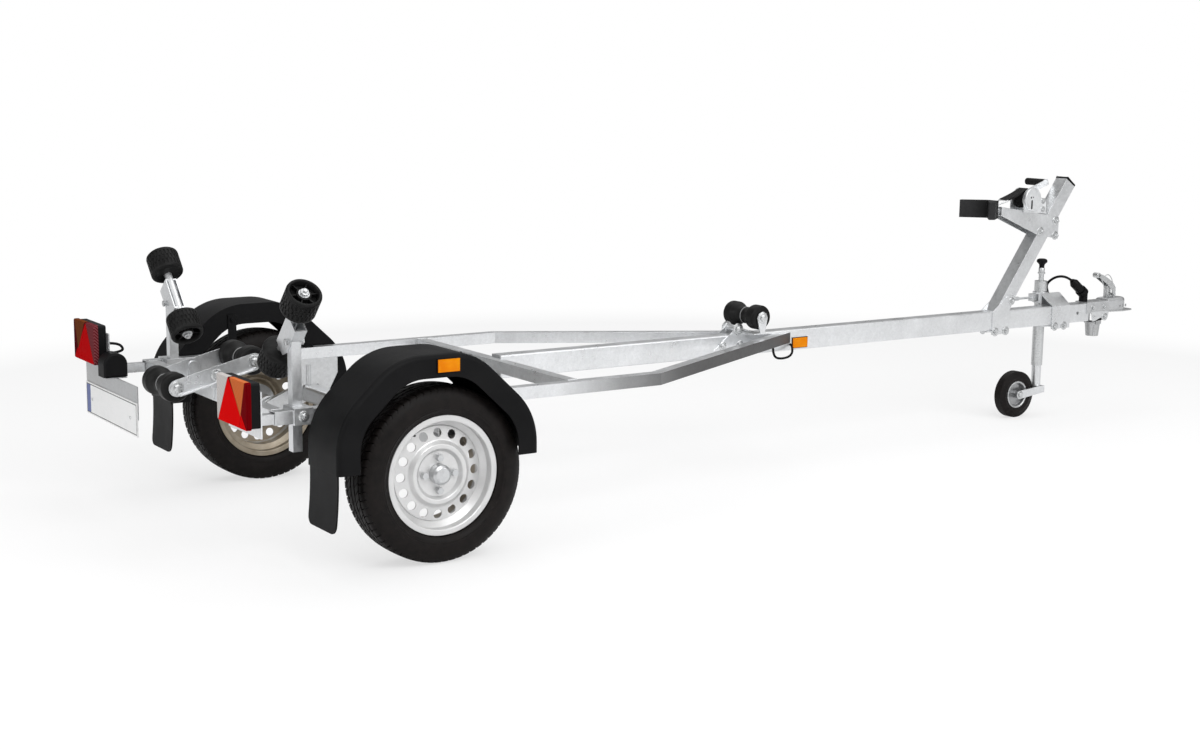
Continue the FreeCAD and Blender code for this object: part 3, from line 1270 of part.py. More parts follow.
def winch_drum():
    half = "drum_half_width"
    reach = f"({CHEEK_IN} + winch_cheek_sheet + moving_gap)"
    flange = "drum_flange_sheet"
    near = f"({CHEEK_IN} + winch_cheek_sheet)"
    points = [("0", f"-{near}"), ("drum_shaft_radius", f"-{near}"),
              ("drum_shaft_radius", f"-{half} - {flange}"),
              ("drum_flange_radius", f"-{half} - {flange}"), ("drum_flange_radius", f"-{half}"),
              ("drum_core_radius", f"-{half}"), ("drum_core_radius", half), ("drum_flange_radius", half),
              ("drum_flange_radius", f"{half} + {flange}"), ("drum_shaft_radius", f"{half} + {flange}"),
              ("drum_shaft_radius", f"{reach} + crank_sheet"), ("0", f"{reach} + crank_sheet")]
    finish(turned("drum_ring", points), "winch_drum", ALONG_Y, ("drum_place", "0", "drum_height"))


def winch_strap():
    half = "strap_width / 2"
    points = [("drum_core_radius + soft_gap", f"-{half}"), ("strap_roll_radius", f"-{half}"),
              ("strap_roll_radius", half),
              ("drum_core_radius + soft_gap", half)]
    finish(turned("strap_ring", points), "winch_strap", ALONG_Y, ("drum_place", "0", "drum_height"))


def winch_crank():
    reach = f"({CHEEK_IN} + winch_cheek_sheet + moving_gap)"
    bar = slab("crank_bar_plate", [("-crank_bar / 2", "-crank_bar / 2"),
                                   ("crank_length + crank_bar / 2", "-crank_bar / 2"),
                                   ("crank_length + crank_bar / 2", "crank_bar / 2"),
                                   ("-crank_bar / 2", "crank_bar / 2")],
               "crank_sheet")
    hole = rod("crank_hole", "drum_shaft_radius", "crank_sheet + 2 * cut_overrun",
               ("0", "0", "-crank_sheet / 2 - cut_overrun"))
    arm = cut("crank_arm", bar, [hole])
    grip = rod("crank_grip", "crank_grip_radius", "crank_grip_length + crank_sheet / 2",
               ("crank_length", "0", "-crank_grip_length - crank_sheet / 2"))
    finish(fuse("crank", [arm, grip]), "winch_crank",
           turn((0, 1, 0), -value("crank_rise")).multiply(SIDE_VIEW),
           ("drum_place", f"{reach} + crank_sheet / 2", "drum_height"))


# Jockey wheel: a tube in a clamp beside the beam, a swivelling leg and its wheel

def jockey_bracket():
    """A saddle bolted round the beam, with the clamp ring and its lever on the left."""
    pieces = []
    long = "(saddle_front - saddle_rear)"
    half = "beam_width / 2"
    sheet_t = "saddle_sheet"
    near = box("saddle_near", (long, sheet_t, "beam_height + shoe_drop"),
               ("saddle_rear", f"-{half} - {sheet_t}", "beam_top - beam_height - shoe_drop"))
    slope = slab("saddle_slope", [(f"-{half} - {sheet_t}", "beam_top - saddle_sheet"),
                                  (f"-{half} - {sheet_t}", "beam_top"),
                                  (half, "beam_top + saddle_rise + saddle_sheet"),
                                  (f"{half} + {sheet_t}", "beam_top + saddle_rise + saddle_sheet"),
                                  (f"{half} + {sheet_t}", "beam_top + saddle_rise - saddle_sheet"),
                                  (half, "beam_top + saddle_rise - saddle_sheet"),
                                  (f"-{half}", "beam_top"), (f"-{half}", "beam_top - saddle_sheet")], long)
    place(slope, ("(saddle_rear + saddle_front) / 2", "0", "0"), REAR_VIEW)
    far = box("saddle_far", (long, sheet_t, "beam_height + shoe_drop + saddle_rise"),
              ("saddle_rear", half, "beam_top - beam_height - shoe_drop"))
    pieces += [near, slope, far]
    for index, spot in enumerate(("saddle_rear + shoe_drop", "saddle_front - 2 * shoe_drop")):
        pieces.append(rod(f"saddle_bolt_{index}", "saddle_sheet", "beam_width + 4 * saddle_sheet",
                          (spot, f"-{half} - 3 * saddle_sheet",
                           "beam_top - beam_height - saddle_bolt_drop"), ALONG_Y))
    ring = rod("clamp_ring", "clamp_ring_radius", "clamp_ring_height",
               ("jockey_place", "jockey_side", "clamp_ring_foot"))
    lug = box("clamp_lug", ("clamp_lug_length", "clamp_ring_radius", "clamp_lug_height"),
              ("jockey_place - clamp_lug_length", "jockey_side - clamp_ring_radius / 2",
               "clamp_ring_foot + clamp_ring_height / 2 - clamp_lug_height / 2"))
    bore = rod("clamp_bore", "jockey_tube_radius + soft_gap", "clamp_ring_height + 2 * cut_overrun",
               ("jockey_place", "jockey_side", "clamp_ring_foot - cut_overrun"))
    lever = rod("clamp_lever", "clamp_lever_radius", "clamp_lever_length",
                ("jockey_place - clamp_lug_length - clamp_lever_length + clamp_lever_radius",
                 "jockey_side",
                 "clamp_ring_foot + clamp_ring_height / 2"), ALONG_X)
    knob = rod("clamp_knob", "clamp_knob_radius", "clamp_knob_length",
               ("jockey_place - clamp_lug_length - clamp_lever_length - clamp_knob_length / 2",
                "jockey_side",
                "clamp_ring_foot + clamp_ring_height / 2"), ALONG_X)
    blank = fuse("saddle_blank", pieces + [ring, lug, lever, knob])
    finish(cut("saddle", blank, [bore]), "jockey_bracket")


def jockey_tube():
    wall = "jockey_tube_wall"
    inner = f"(jockey_tube_radius - {wall})"
    collar = "(jockey_tube_top - jockey_collar_height)"
    points = [(inner, "jockey_tube_foot"), ("jockey_tube_radius", "jockey_tube_foot"),
              ("jockey_tube_radius", collar),
              ("jockey_collar_radius", collar), ("jockey_collar_radius", "jockey_tube_top"),
              ("jockey_neck_radius", "jockey_tube_top"),
              ("jockey_neck_radius", "jockey_tube_top + jockey_neck_length / 2"),
              ("0", "jockey_tube_top + jockey_neck_length / 2"),
              ("0", "jockey_tube_top - jockey_neck_radius"),
              (inner, "jockey_tube_top - jockey_neck_radius")]
    finish(turned("jockey_tube_ring", points), "jockey_tube", UPRIGHT, ("jockey_place", "jockey_side", "0"))


def jockey_knob():
    low = "(jockey_tube_top + jockey_neck_length / 2)"
    top = "(jockey_tube_top + jockey_neck_length + jockey_knob_height)"
    high = "(jockey_tube_top + 1.3 * jockey_neck_length + jockey_knob_height)"
    points = [("0", low), ("jockey_neck_radius", low), ("jockey_neck_radius", top),
              ("jockey_knob_radius", f"{top} + jockey_knob_height / 4"),
              ("jockey_knob_radius", f"{high} - jockey_knob_height / 4"),
              ("jockey_knob_radius / 2", high), ("0", high)]
    finish(turned("jockey_knob_ring", points), "jockey_knob", UPRIGHT, ("jockey_place", "jockey_side", "0"))


def jockey_fork():
    """The inner leg and the two flat arms that trail back to the wheel's pin."""
    low = "jockey_inner_foot"
    leg = rod("fork_leg", "jockey_inner_radius", f"jockey_tube_foot + jockey_leg_lap - {low}",
              ("0", "0", low))
    crown = box("fork_crown", ("jockey_fork_depth", "2 * jockey_fork_half", "jockey_fork_sheet * 2"),
                ("-jockey_fork_depth / 2", "-jockey_fork_half", low))
    pieces = [leg, crown]
    for side, sign in SIDES:
        deep = "jockey_fork_depth / 2"
        points = [("-jockey_trail", f"jockey_wheel_radius - {deep}"), (deep, f"{low} - {deep}"),
                  (deep, f"{low} + {deep} / 2"), (f"-{deep}", f"{low} + {deep} / 2"),
                  ("-jockey_trail", f"jockey_wheel_radius + {deep}")]
        arm = slab(f"fork_{side}_arm", points, "jockey_fork_sheet")
        mid = f"{sign} * (jockey_fork_half - jockey_fork_sheet / 2)"
        pieces.append(place(arm, ("0", mid, "0"), SIDE_VIEW))
        pieces.append(rod(f"fork_{side}_eye", deep, "jockey_fork_sheet",
                          ("-jockey_trail", f"{mid} - jockey_fork_sheet / 2", "jockey_wheel_radius"),
                          ALONG_Y))
    pieces.append(rod("fork_pin", "jockey_pin_radius", "2 * jockey_fork_half + 2 * jockey_fork_sheet",
                      ("-jockey_trail", "-jockey_fork_half - jockey_fork_sheet", "jockey_wheel_radius"),
                      ALONG_Y))
    finish(fuse("fork", pieces), "jockey_fork", UPRIGHT, ("jockey_place", "jockey_side", "0"))


JOCKEY_WHEEL = ("jockey_place - jockey_trail", "jockey_side", "jockey_wheel_radius")


def jockey_wheel():
    half = "jockey_tyre_width / 2"
    sheet_r = "rim_sheet"
    bore = "(jockey_pin_radius + running_gap)"
    points = [(bore, f"-{half}"), ("2 * jockey_pin_radius", f"-{half}"),
              ("2 * jockey_pin_radius", f"-{sheet_r}"),
              (f"jockey_rim_radius - 2 * {sheet_r}", f"-{sheet_r}"),
              (f"jockey_rim_radius - 2 * {sheet_r}", "-jockey_rim_half"),
              (f"jockey_rim_radius", "-jockey_rim_half"), ("jockey_rim_radius", "jockey_rim_half"),
              (f"jockey_rim_radius - 2 * {sheet_r}", "jockey_rim_half"),
              (f"jockey_rim_radius - 2 * {sheet_r}", sheet_r),
              ("2 * jockey_pin_radius", sheet_r), ("2 * jockey_pin_radius", half), (bore, half)]
    finish(turned("jockey_rim_ring", points), "jockey_rim", ALONG_Y, JOCKEY_WHEEL)
    widest = "(jockey_rim_radius + tyre_bulge_share * (jockey_wheel_radius - jockey_rim_radius))"
    tread = "jockey_tread_width / 2"
    ring = [("jockey_rim_radius", "-jockey_rim_half"), (widest, f"-{half}"),
            ("jockey_wheel_radius", f"-{tread}"),
            ("jockey_wheel_radius", tread), (widest, half), ("jockey_rim_radius", "jockey_rim_half")]
    finish(turned("jockey_tyre_ring", ring), "jockey_tyre", ALONG_Y, JOCKEY_WHEEL)


# Coupling: a pressed head on the beam's front end, its lever, and the cup below

def coupling_head():
    sheet_c = "coupling_sheet"
    outer_half = f"(beam_width / 2 + {sheet_c})"
    floor = "coupling_brim_height"
    back = "(beam_front - coupling_sleeve_lap)"
    sleeve = box("sleeve_block", (f"coupling_sleeve_front - {back}", f"2 * {outer_half}",
                                  f"beam_top + {sheet_c} - {floor}"),
                 (back, f"-{outer_half}", floor))
    beam_void = box("sleeve_void", (f"beam_front - {back} + cut_overrun", "beam_width", "beam_height"),
                    (f"{back} - cut_overrun", "-beam_width / 2", "beam_top - beam_height"))
    under = box("sleeve_under", ("coupling_sleeve_front - beam_front - 2 * coupling_sheet", "beam_width",
                                 f"beam_top - {floor} + coupling_sheet"),
                ("beam_front + coupling_sheet", "-beam_width / 2", f"{floor} - coupling_sheet"))
    sleeve_part = cut("sleeve", sleeve, [beam_void, under])
    brim = "coupling_brim_radius"
    waist_half = f"({outer_half} + coupling_sheet)"
    lip = slab("head_lip", [("coupling_sleeve_front", f"-{waist_half}"),
                            ("coupling_socket_place", f"-lip_waist_share * {brim}"),
                            ("coupling_nose", f"-lip_nose_share * {brim}"),
                            ("coupling_nose", f"lip_nose_share * {brim}"),
                            ("coupling_socket_place", f"lip_waist_share * {brim}"),
                            ("coupling_sleeve_front", waist_half)], sheet_c)
    nose = [("coupling_nose", f"-lip_nose_share * {brim}"), ("coupling_nose", f"lip_nose_share * {brim}")]
    round_edges(lip, "head_lip_nose", f"lip_corner_share * {brim}", upright_edge_at(nose))
    place(lip, ("0", "0", f"{floor} + {sheet_c} / 2"))
    crest = f"(beam_top + coupling_head_rise - {floor})"
    shell = slab("head_shell", [("coupling_sleeve_front - 2 * coupling_sheet", f"-{outer_half}"),
                                ("coupling_socket_place", "-coupling_dome_radius"),
                                ("coupling_nose - coupling_head_setback", "-coupling_dome_radius"),
                                ("coupling_nose - coupling_head_setback", "coupling_dome_radius"),
                                ("coupling_socket_place", "coupling_dome_radius"),
                                ("coupling_sleeve_front - 2 * coupling_sheet", outer_half)], crest)
    front = [("coupling_nose - coupling_head_setback", "-coupling_dome_radius"),
             ("coupling_nose - coupling_head_setback", "coupling_dome_radius")]
    round_edges(shell, "head_shell_nose", "head_corner_share * coupling_dome_radius",
                upright_edge_at(front))
    round_edges(shell, "head_shell_crown", "coupling_crown_radius", far_face(f"{crest} / 2"))
    place(shell, ("0", "0", f"{floor} + {crest} / 2"))
    socket = doc.addObject("Part::Sphere", "ball_socket")
    bind(socket, "Radius", "coupling_ball_radius + running_gap")
    place(socket, ("coupling_socket_place", "0", "coupling_brim_height"))
    finish(cut("head", fuse("head_blank", [sleeve_part, lip, shell]), [socket]), "coupling_head")


def coupling_cup():
    """The tapered cup that hangs from a strap under the beam's end."""
    deep = "(coupling_cup_top - coupling_cup_foot)"
    points = [("0", "0"), ("coupling_cup_narrow", "0"), ("coupling_cup_wide", deep),
              ("coupling_cup_wide - coupling_sheet", deep),
              ("coupling_cup_narrow - coupling_sheet", "coupling_sheet"),
              ("0", "coupling_sheet")]
    cup = turned("cup_ring", points)
    place(cup, ("coupling_cup_place", "0", "coupling_cup_foot"))
    strap_half = "(beam_width / 2 + coupling_sheet)"
    straps = []
    for side, sign in SIDES:
        straps.append(box(f"cup_{side}_strap",
                          ("coupling_cup_wide", "coupling_sheet", "coupling_brim_height - coupling_cup_top"
                                                " + 2 * coupling_sheet"),
                          ("coupling_cup_place - coupling_cup_wide / 2",
                           f"{sign} * ({strap_half} - coupling_sheet / 2) - coupling_sheet / 2",
                           "coupling_cup_top - 2 * coupling_sheet")))
    finish(fuse("cup", [cup] + straps), "coupling_cup")


def coupling_lever():
    """The raised locking lever: up from the head, then back and up over the sleeve."""
    foot = "(beam_top + coupling_head_rise)"
    knee = f"({foot} + lever_rise)"
    end_x = "(lever_place - lever_reach)"
    thin = "lever_sheet"
    front = [("lever_place + lever_sheet", knee)]
    points = [(f"lever_place - 2 * {thin}", foot), (f"lever_place + {thin}", foot),
              (f"lever_place + {thin}", knee),
              (end_x, f"{knee} + lever_end_rise"),
              (f"{end_x} - lever_crook", f"{knee} + lever_end_rise - 2 * {thin}"),
              (f"lever_place - 2 * {thin}", f"{knee} - lever_crook")]
    body = slab("lever_plate", points, "lever_width")
    round_edges(body, "lever_knee", "2 * lever_sheet", upright_edge_at(front))
    inner = [(f"lever_place - 2 * {thin}", f"{knee} - lever_crook")]
    round_edges(body, "lever_crook", "lever_sheet", upright_edge_at(inner))
    tip = rod("lever_tip", "lever_width / 2", thin, ("0", "0", f"-{thin} / 2"))
    place(tip, (end_x, "0", f"{knee} + lever_end_rise - {thin}"), turn((0, 1, 0), value("lever_end_tilt")))
    place(body, ("0", "0", "0"), SIDE_VIEW)
    finish(fuse("lever_part", [body, tip]), "coupling_lever")


# Parked plug, its holder and its cable

def parked_plug():
    tilt = turn((0, 1, 0), -value("plug_tilt"))
    shell = [("0", "0"), ("plug_radius", "0"), ("plug_radius", "plug_length"),
             ("plug_radius / 2", "plug_length + plug_radius"),
             ("0", "plug_length + plug_radius")]
    body = turned("plug_body", shell)
    place(body, ("plug_place", "0", "plug_foot"), tilt)
    collar = rod("plug_collar", "plug_collar_radius", "plug_collar_length",
                 ("plug_place", "0", "plug_foot"), tilt)
    strip_w = "plug_collar_length"
    deck = "(beam_top + coupling_sheet)"
    holder = box("plug_holder", (strip_w, strip_w, f"plug_foot - {deck}"),
                 (f"plug_place - {strip_w} / 2", f"-{strip_w} / 2", deck))
    finish(fuse("plug", [body, collar, holder]), "parked_plug")


LAMP_BACK = "(tail_overhang - lamp_lens_depth - lamp_house_depth)"
LAMP_PLATE_WIDTH = "(lamp_outer - rail_centre + lamp_bar_size / 2 + lamp_plate_lap)"
PLATE_LAMP_PLACE = "(lamp_outer - lamp_width - plate_lamp_gap - plate_lamp_length / 2)"


# Cables: each route's points are joined by straight runs with a round arc at every corner

def cable(name, route, radius, bend):
    """A solid cable along a route of points from the axle's frame."""
    points = [VECTOR(*(value(part) for part in spot)) for spot in route]
    edges, start = [], points[0]
    for before, corner, after in zip(points, points[1:], points[2:]):
        back, ahead = before - corner, after - corner
        opening = back.getAngle(ahead)
        room = min(back.Length, ahead.Length) / 2
        inset = min(value(bend) / math.tan(opening / 2), room)
        back.normalize()
        ahead.normalize()
        arc_start, arc_end = corner + back * inset, corner + ahead * inset
        middle = (back + ahead).normalize()
        reach = inset / math.cos(opening / 2)
        arc_middle = corner + middle * (reach - inset * math.tan(opening / 2))
        if (arc_start - start).Length > value("running_gap"):
            edges.append(Part.LineSegment(start, arc_start).toShape())
        edges.append(Part.Arc(arc_start, arc_middle, arc_end).toShape())
        start = arc_end
    edges.append(Part.LineSegment(start, points[-1]).toShape())
    path = Part.Wire(edges)
    ring = Part.Wire([Part.makeCircle(value(radius), points[0], points[1] - points[0])])
    thing = doc.addObject("Part::Feature", name)
    thing.Shape = path.makePipeShell([ring], True, False)
    return thing


def plug_cable():
    """From the plug's upper end round the jockey tube and into the saddle's far side."""
    lean = "(plug_length + plug_radius)"
    end = (f"plug_place - {lean} * sin(plug_tilt)", "0", f"plug_foot + {lean} * cos(plug_tilt)")
    rise = "plug_cable_rise"
    beside = "jockey_place + clamp_ring_radius + 2 * cable_radius"
    route = [end, (f"{end[0]} - {rise}", "0", f"{end[2]} + plug_cable_lift"),
             ("plug_cable_crest_place", "plug_cable_side", "plug_cable_crest"),
             ("jockey_place + jockey_collar_radius + cable_clear", "jockey_side",
              f"plug_cable_crest - {rise}"),
             (beside, "jockey_side", "clamp_ring_foot + clamp_ring_height"),
             (beside, "beam_width / 2 + 4 * saddle_sheet", "cable_entry_height"),
             (beside, "beam_width / 2 + saddle_sheet", "cable_entry_height")]
    finish(cable("plug_cable_run", route, "cable_radius", "cable_bend"), "plug_cable")


def frame_cables():
    """The loop out of a lamp, the run along the rear cross member and the loop under a rail's tip."""
    loop = "lamp_loop_side"
    out = f"(-{LAMP_BACK} + lamp_plate_sheet)"
    lamp = [(out, loop, "lamp_loop_top"), (f"{out} + lamp_loop_reach / 2", loop, "lamp_loop_top"),
            (f"{out} + lamp_loop_reach", f"{loop} - cable_bend / 3", "lamp_loop_top - cable_bend / 4"),
            (f"{out} + lamp_loop_reach", f"{loop} - cable_bend", "lamp_loop_top - cable_bend"),
            (out, f"{loop} - cable_bend", "lamp_loop_top - cable_bend")]
    ahead = "rail_size - rail_rear + cable_radius"
    member = [(ahead, "rail_centre - rail_size / 2", "rail_top - rail_size / 2"),
              (ahead, "rail_size / 2 - rail_centre", "rail_top - rail_size / 2")]
    low = "(beam_top - beam_height)"
    under = "(rail_top - rail_size - cable_clear)"
    tip = [("rail_tip - tip_loop_rear", "-tip_loop_side", "rail_top - rail_size"),
           ("rail_tip - tip_loop_rear", "-tip_loop_side", f"{low} - tip_loop_drop / 2"),
           ("rail_tip - tip_loop_rear * tip_loop_crest_share", "-tip_loop_side", f"{low} - tip_loop_drop"),
           ("rail_tip - tip_loop_rear * tip_loop_front_share", "-tip_loop_side",
            f"{low} - tip_loop_drop / 2"),
           ("rail_tip", "-beam_width / 2 - 3 * cable_radius", under),
           ("rail_tip", "-beam_width / 2", under)]
    pieces = [cable("lamp_loop", lamp, "cable_radius", "cable_bend"),
              cable("member_run", member, "cable_radius", "cable_bend"),
              cable("tip_loop", tip, "cable_radius", "cable_bend")]
    finish(group("cable_set", pieces), "frame_cables")


# Rear lamps, on plates at the ends of two bars that slide in the rails

def lamp_block(name, sign, inset, depth):
    outer, inner = f"(lamp_outer - {inset})", f"(lamp_outer - lamp_width + {inset})"
    top, foot = f"lamp_top - {inset}", f"lamp_foot + {inset}"
    block = slab(name, [(f"{sign} * {outer}", foot), (f"{sign} * {outer}", top), (f"{sign} * {inner}", top),
                        (f"{sign} * {inner}", foot)], depth)
    return round_edges(block, f"{name}_corners", "lamp_corner_radius", upright_edge)


def lamps():
    houses, lenses, bars, plates = [], [], [], []
    for side, sign in SIDES:
        lens = lamp_block(f"lens_{side}", sign, "0", "lamp_lens_depth")
        round_edges(lens, f"lens_{side}_edge", "lamp_lens_edge", far_face("-lamp_lens_depth / 2"))
        lenses.append(place(lens, ("lamp_lens_depth / 2 - tail_overhang", "0", "0"), REAR_VIEW))
        house = lamp_block(f"house_{side}", sign, "lamp_house_step", "lamp_house_depth")
        houses.append(place(house, ("lamp_lens_depth + lamp_house_depth / 2 - tail_overhang", "0", "0"),
                            REAR_VIEW))
        plates.append(box(f"lamp_{side}_plate", ("lamp_plate_sheet", LAMP_PLATE_WIDTH,
                                                "lamp_top - lamp_foot + lamp_plate_drop - lamp_plate_shy"),
                          (f"-{LAMP_BACK}",
                           f"{sign} * (lamp_outer - {LAMP_PLATE_WIDTH} / 2) - {LAMP_PLATE_WIDTH} / 2",
                           "lamp_foot - lamp_plate_drop")))
        bar_long = f"({LAMP_BACK} - lamp_plate_sheet - rail_rear + rail_rear / 4)"
        bars.append(box(f"lamp_{side}_bar", (bar_long, "lamp_bar_size", "lamp_bar_size"),
                        (f"lamp_plate_sheet - {LAMP_BACK}", f"{sign} * rail_centre - lamp_bar_size / 2",
                         "rail_top - rail_size + rail_wall")))
    finish(group("lens_pair", lenses), "lamp_lenses")
    finish(group("house_pair", houses), "lamp_housings")
    finish(group("plate_pair", plates), "lamp_plates")
    finish(group("bar_pair", bars), "lamp_bars")


def plate_lamp():
    """The half round lamp that lights the number plate, on the holder's flange."""
    radius = "plate_lamp_radius"
    half = "plate_lamp_length / 2"
    body = slab("plate_lamp_block", [(f"-{radius}", "0"), (radius, "0"),
                                     (radius, f"2 * {radius} - running_gap"),
                                     (f"-{radius}", f"2 * {radius} - running_gap")], "plate_lamp_length")
    high = [(f"-{radius}", f"2 * {radius} - running_gap"), (radius, f"2 * {radius} - running_gap")]
    round_edges(body, "plate_lamp_dome", f"plate_lamp_dome_share * {radius}", upright_edge_at(high))
    round_edges(body, "plate_lamp_ends", "plate_lamp_edge", far_face(half))
    finish(body, "plate_lamp", SIDE_VIEW, (f"-{LAMP_BACK}", PLATE_LAMP_PLACE, "plate_flange_top"))


def number_plate():
    low_y = "(lamp_outer - plate_inset - plate_length)"
    strip_rear = f"({LAMP_BACK} + plate_strip_sheet)"
    blank = box("number_sheet", ("plate_sheet", "plate_length", "plate_height"), ("0", "0", "0"))
    finish(blank, "number_plate", UPRIGHT, (f"-{strip_rear} - plate_sheet", low_y, "plate_foot"))
    strip_low = "(plate_foot + plate_height / 2)"
    strip = box("number_strip", ("plate_strip_sheet", "plate_length", f"plate_flange_top - {strip_low}"),
                (f"-{strip_rear}", low_y, strip_low))
    hang = box("number_hanger", ("plate_strip_sheet", LAMP_PLATE_WIDTH, f"lamp_foot - {strip_low}"),
               (f"-{strip_rear}", f"lamp_outer - {LAMP_PLATE_WIDTH}", strip_low))
    flange = box("number_flange", ("plate_flange_depth", "plate_lamp_length + plate_lamp_edge",
                                   "plate_strip_sheet"),
                 (f"-{LAMP_BACK} - plate_flange_depth / 2",
                  f"{PLATE_LAMP_PLACE} - (plate_lamp_length + plate_lamp_edge) / 2",
                  "plate_flange_top - plate_strip_sheet"))
    finish(fuse("number_holder_part", [strip, hang, flange]), "plate_holder")


def reflectors():
    pieces = []
    for side, sign in SIDES:
        for name, spot, level, face in (("guard", "guard_reflector_place", "guard_reflector_height",
                                         "guard_side"),
                                        ("beam", "beam_reflector_place", "beam_reflector_height",
                                         "beam_width / 2")):
            pieces.append(box(f"reflector_{name}_{side}",
                              ("reflector_length", "reflector_depth", "reflector_height"),
                              (f"{spot} - reflector_length / 2",
                               f"{sign} * ({face} + reflector_depth / 2) - reflector_depth / 2",
                               f"{level} - reflector_height / 2")))
    finish(group("reflector_set", pieces), "side_reflectors")


main_beam()
finish(group("rail_pair", [side_rail(side, sign) for side, sign in SIDES]), "side_rails")
finish(group("member_pair", [cross_member("front", "front_member_place"),
                             cross_member("rear", "(rail_size / 2 - rail_rear)")]), "cross_members")
axle_tube()
axle_brackets()
finish(group("arm_pair", [swing_arm(side, sign) for side, sign in SIDES]), "swing_arms")
for side, sign in SIDES:
    tyre(side, sign)
    wheel_rim(side, sign)
    wheel_hub(side, sign)
finish(group("guard_pair", [mudguard(side, sign) for side, sign in SIDES]), "mudguards")
mudflaps()
guard_stays()
roller_posts()
post_clamps()
for side, sign in SIDES:
    rocker(side, sign)
    side_roller(side, sign, "outer", 1)
    side_roller(side, sign, "inner", -1)
KEEL_RISE = "(keel_rocker_reach * sin(keel_rocker_tilt))"
KEEL_RUN = "(keel_rocker_reach * cos(keel_rocker_tilt))"
keel_rocker()
keel_ears()
keel_roller("keel_roller_tail", (f"-keel_pivot_place - {KEEL_RUN}", "0",
                                 f"(rail_top + keel_pivot_rise) - {KEEL_RISE}"))
keel_roller("keel_roller_head", (f"-keel_pivot_place + {KEEL_RUN}", "0",
                                 f"(rail_top + keel_pivot_rise) + {KEEL_RISE}"))
keel_saddle()
keel_roller("keel_roller_beam", ("yoke_place", "0", "yoke_height"))
winch_post()
post_shoe()
bow_arm()
bow_block()
winch_frame()
winch_guard()
strap_run()
winch_drum()
winch_strap()
winch_crank()
jockey_bracket()
jockey_tube()
jockey_knob()
jockey_fork()
jockey_wheel()
coupling_head()
coupling_cup()
coupling_lever()
parked_plug()
plug_cable()
frame_cables()
lamps()
plate_lamp()
number_plate()
reflectors()
doc.recompute()

# Every piece is checked before any file is written

for thing in doc.Objects:
    if "Invalid" in thing.State or "Error" in thing.State:
        raise RuntimeError(f"{thing.Label} did not rebuild: {thing.State}")
for thing in parts_made:
    if thing.Shape.isNull() or not thing.Shape.isValid():
        raise RuntimeError(f"{thing.Label} has no sound shape")

os.makedirs("parts", exist_ok=True)
for thing in parts_made:
    thing.Shape.exportStep(f"parts/{thing.Label}.step")
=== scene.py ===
import json
import math

import bmesh
import bpy
from mathutils import Matrix, Vector

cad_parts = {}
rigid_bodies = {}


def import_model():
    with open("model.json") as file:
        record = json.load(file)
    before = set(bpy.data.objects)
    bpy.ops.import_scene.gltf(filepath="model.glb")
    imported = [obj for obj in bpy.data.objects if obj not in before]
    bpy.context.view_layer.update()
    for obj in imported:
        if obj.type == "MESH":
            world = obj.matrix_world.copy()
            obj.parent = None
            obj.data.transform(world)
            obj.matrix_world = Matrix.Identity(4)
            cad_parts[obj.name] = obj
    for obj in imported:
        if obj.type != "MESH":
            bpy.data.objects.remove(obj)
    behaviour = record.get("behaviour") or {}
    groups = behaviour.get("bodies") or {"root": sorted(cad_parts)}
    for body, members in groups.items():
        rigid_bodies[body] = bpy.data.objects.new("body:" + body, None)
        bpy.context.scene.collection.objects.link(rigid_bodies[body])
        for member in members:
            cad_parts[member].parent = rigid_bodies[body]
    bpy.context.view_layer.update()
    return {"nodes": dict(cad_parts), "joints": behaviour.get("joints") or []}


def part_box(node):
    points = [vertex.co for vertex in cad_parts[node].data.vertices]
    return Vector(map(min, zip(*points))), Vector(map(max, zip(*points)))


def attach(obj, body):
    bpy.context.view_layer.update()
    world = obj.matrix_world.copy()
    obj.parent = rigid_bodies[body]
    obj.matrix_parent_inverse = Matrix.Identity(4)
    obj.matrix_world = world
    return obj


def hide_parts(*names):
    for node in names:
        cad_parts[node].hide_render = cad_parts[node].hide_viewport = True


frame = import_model()
MM = 0.001
AXLE = -1618.0                  # the axle's place along X, in mm, in the row frame
WHEEL_Y, WHEEL_Z = 650, 268     # a road wheel's middle, in mm
TURN = 2 * math.pi


def at(x, y, z):
    """A place in mm, measured from the axle, as metres in the row frame."""
    return Vector(((x + AXLE) * MM, y * MM, z * MM))


# Materials

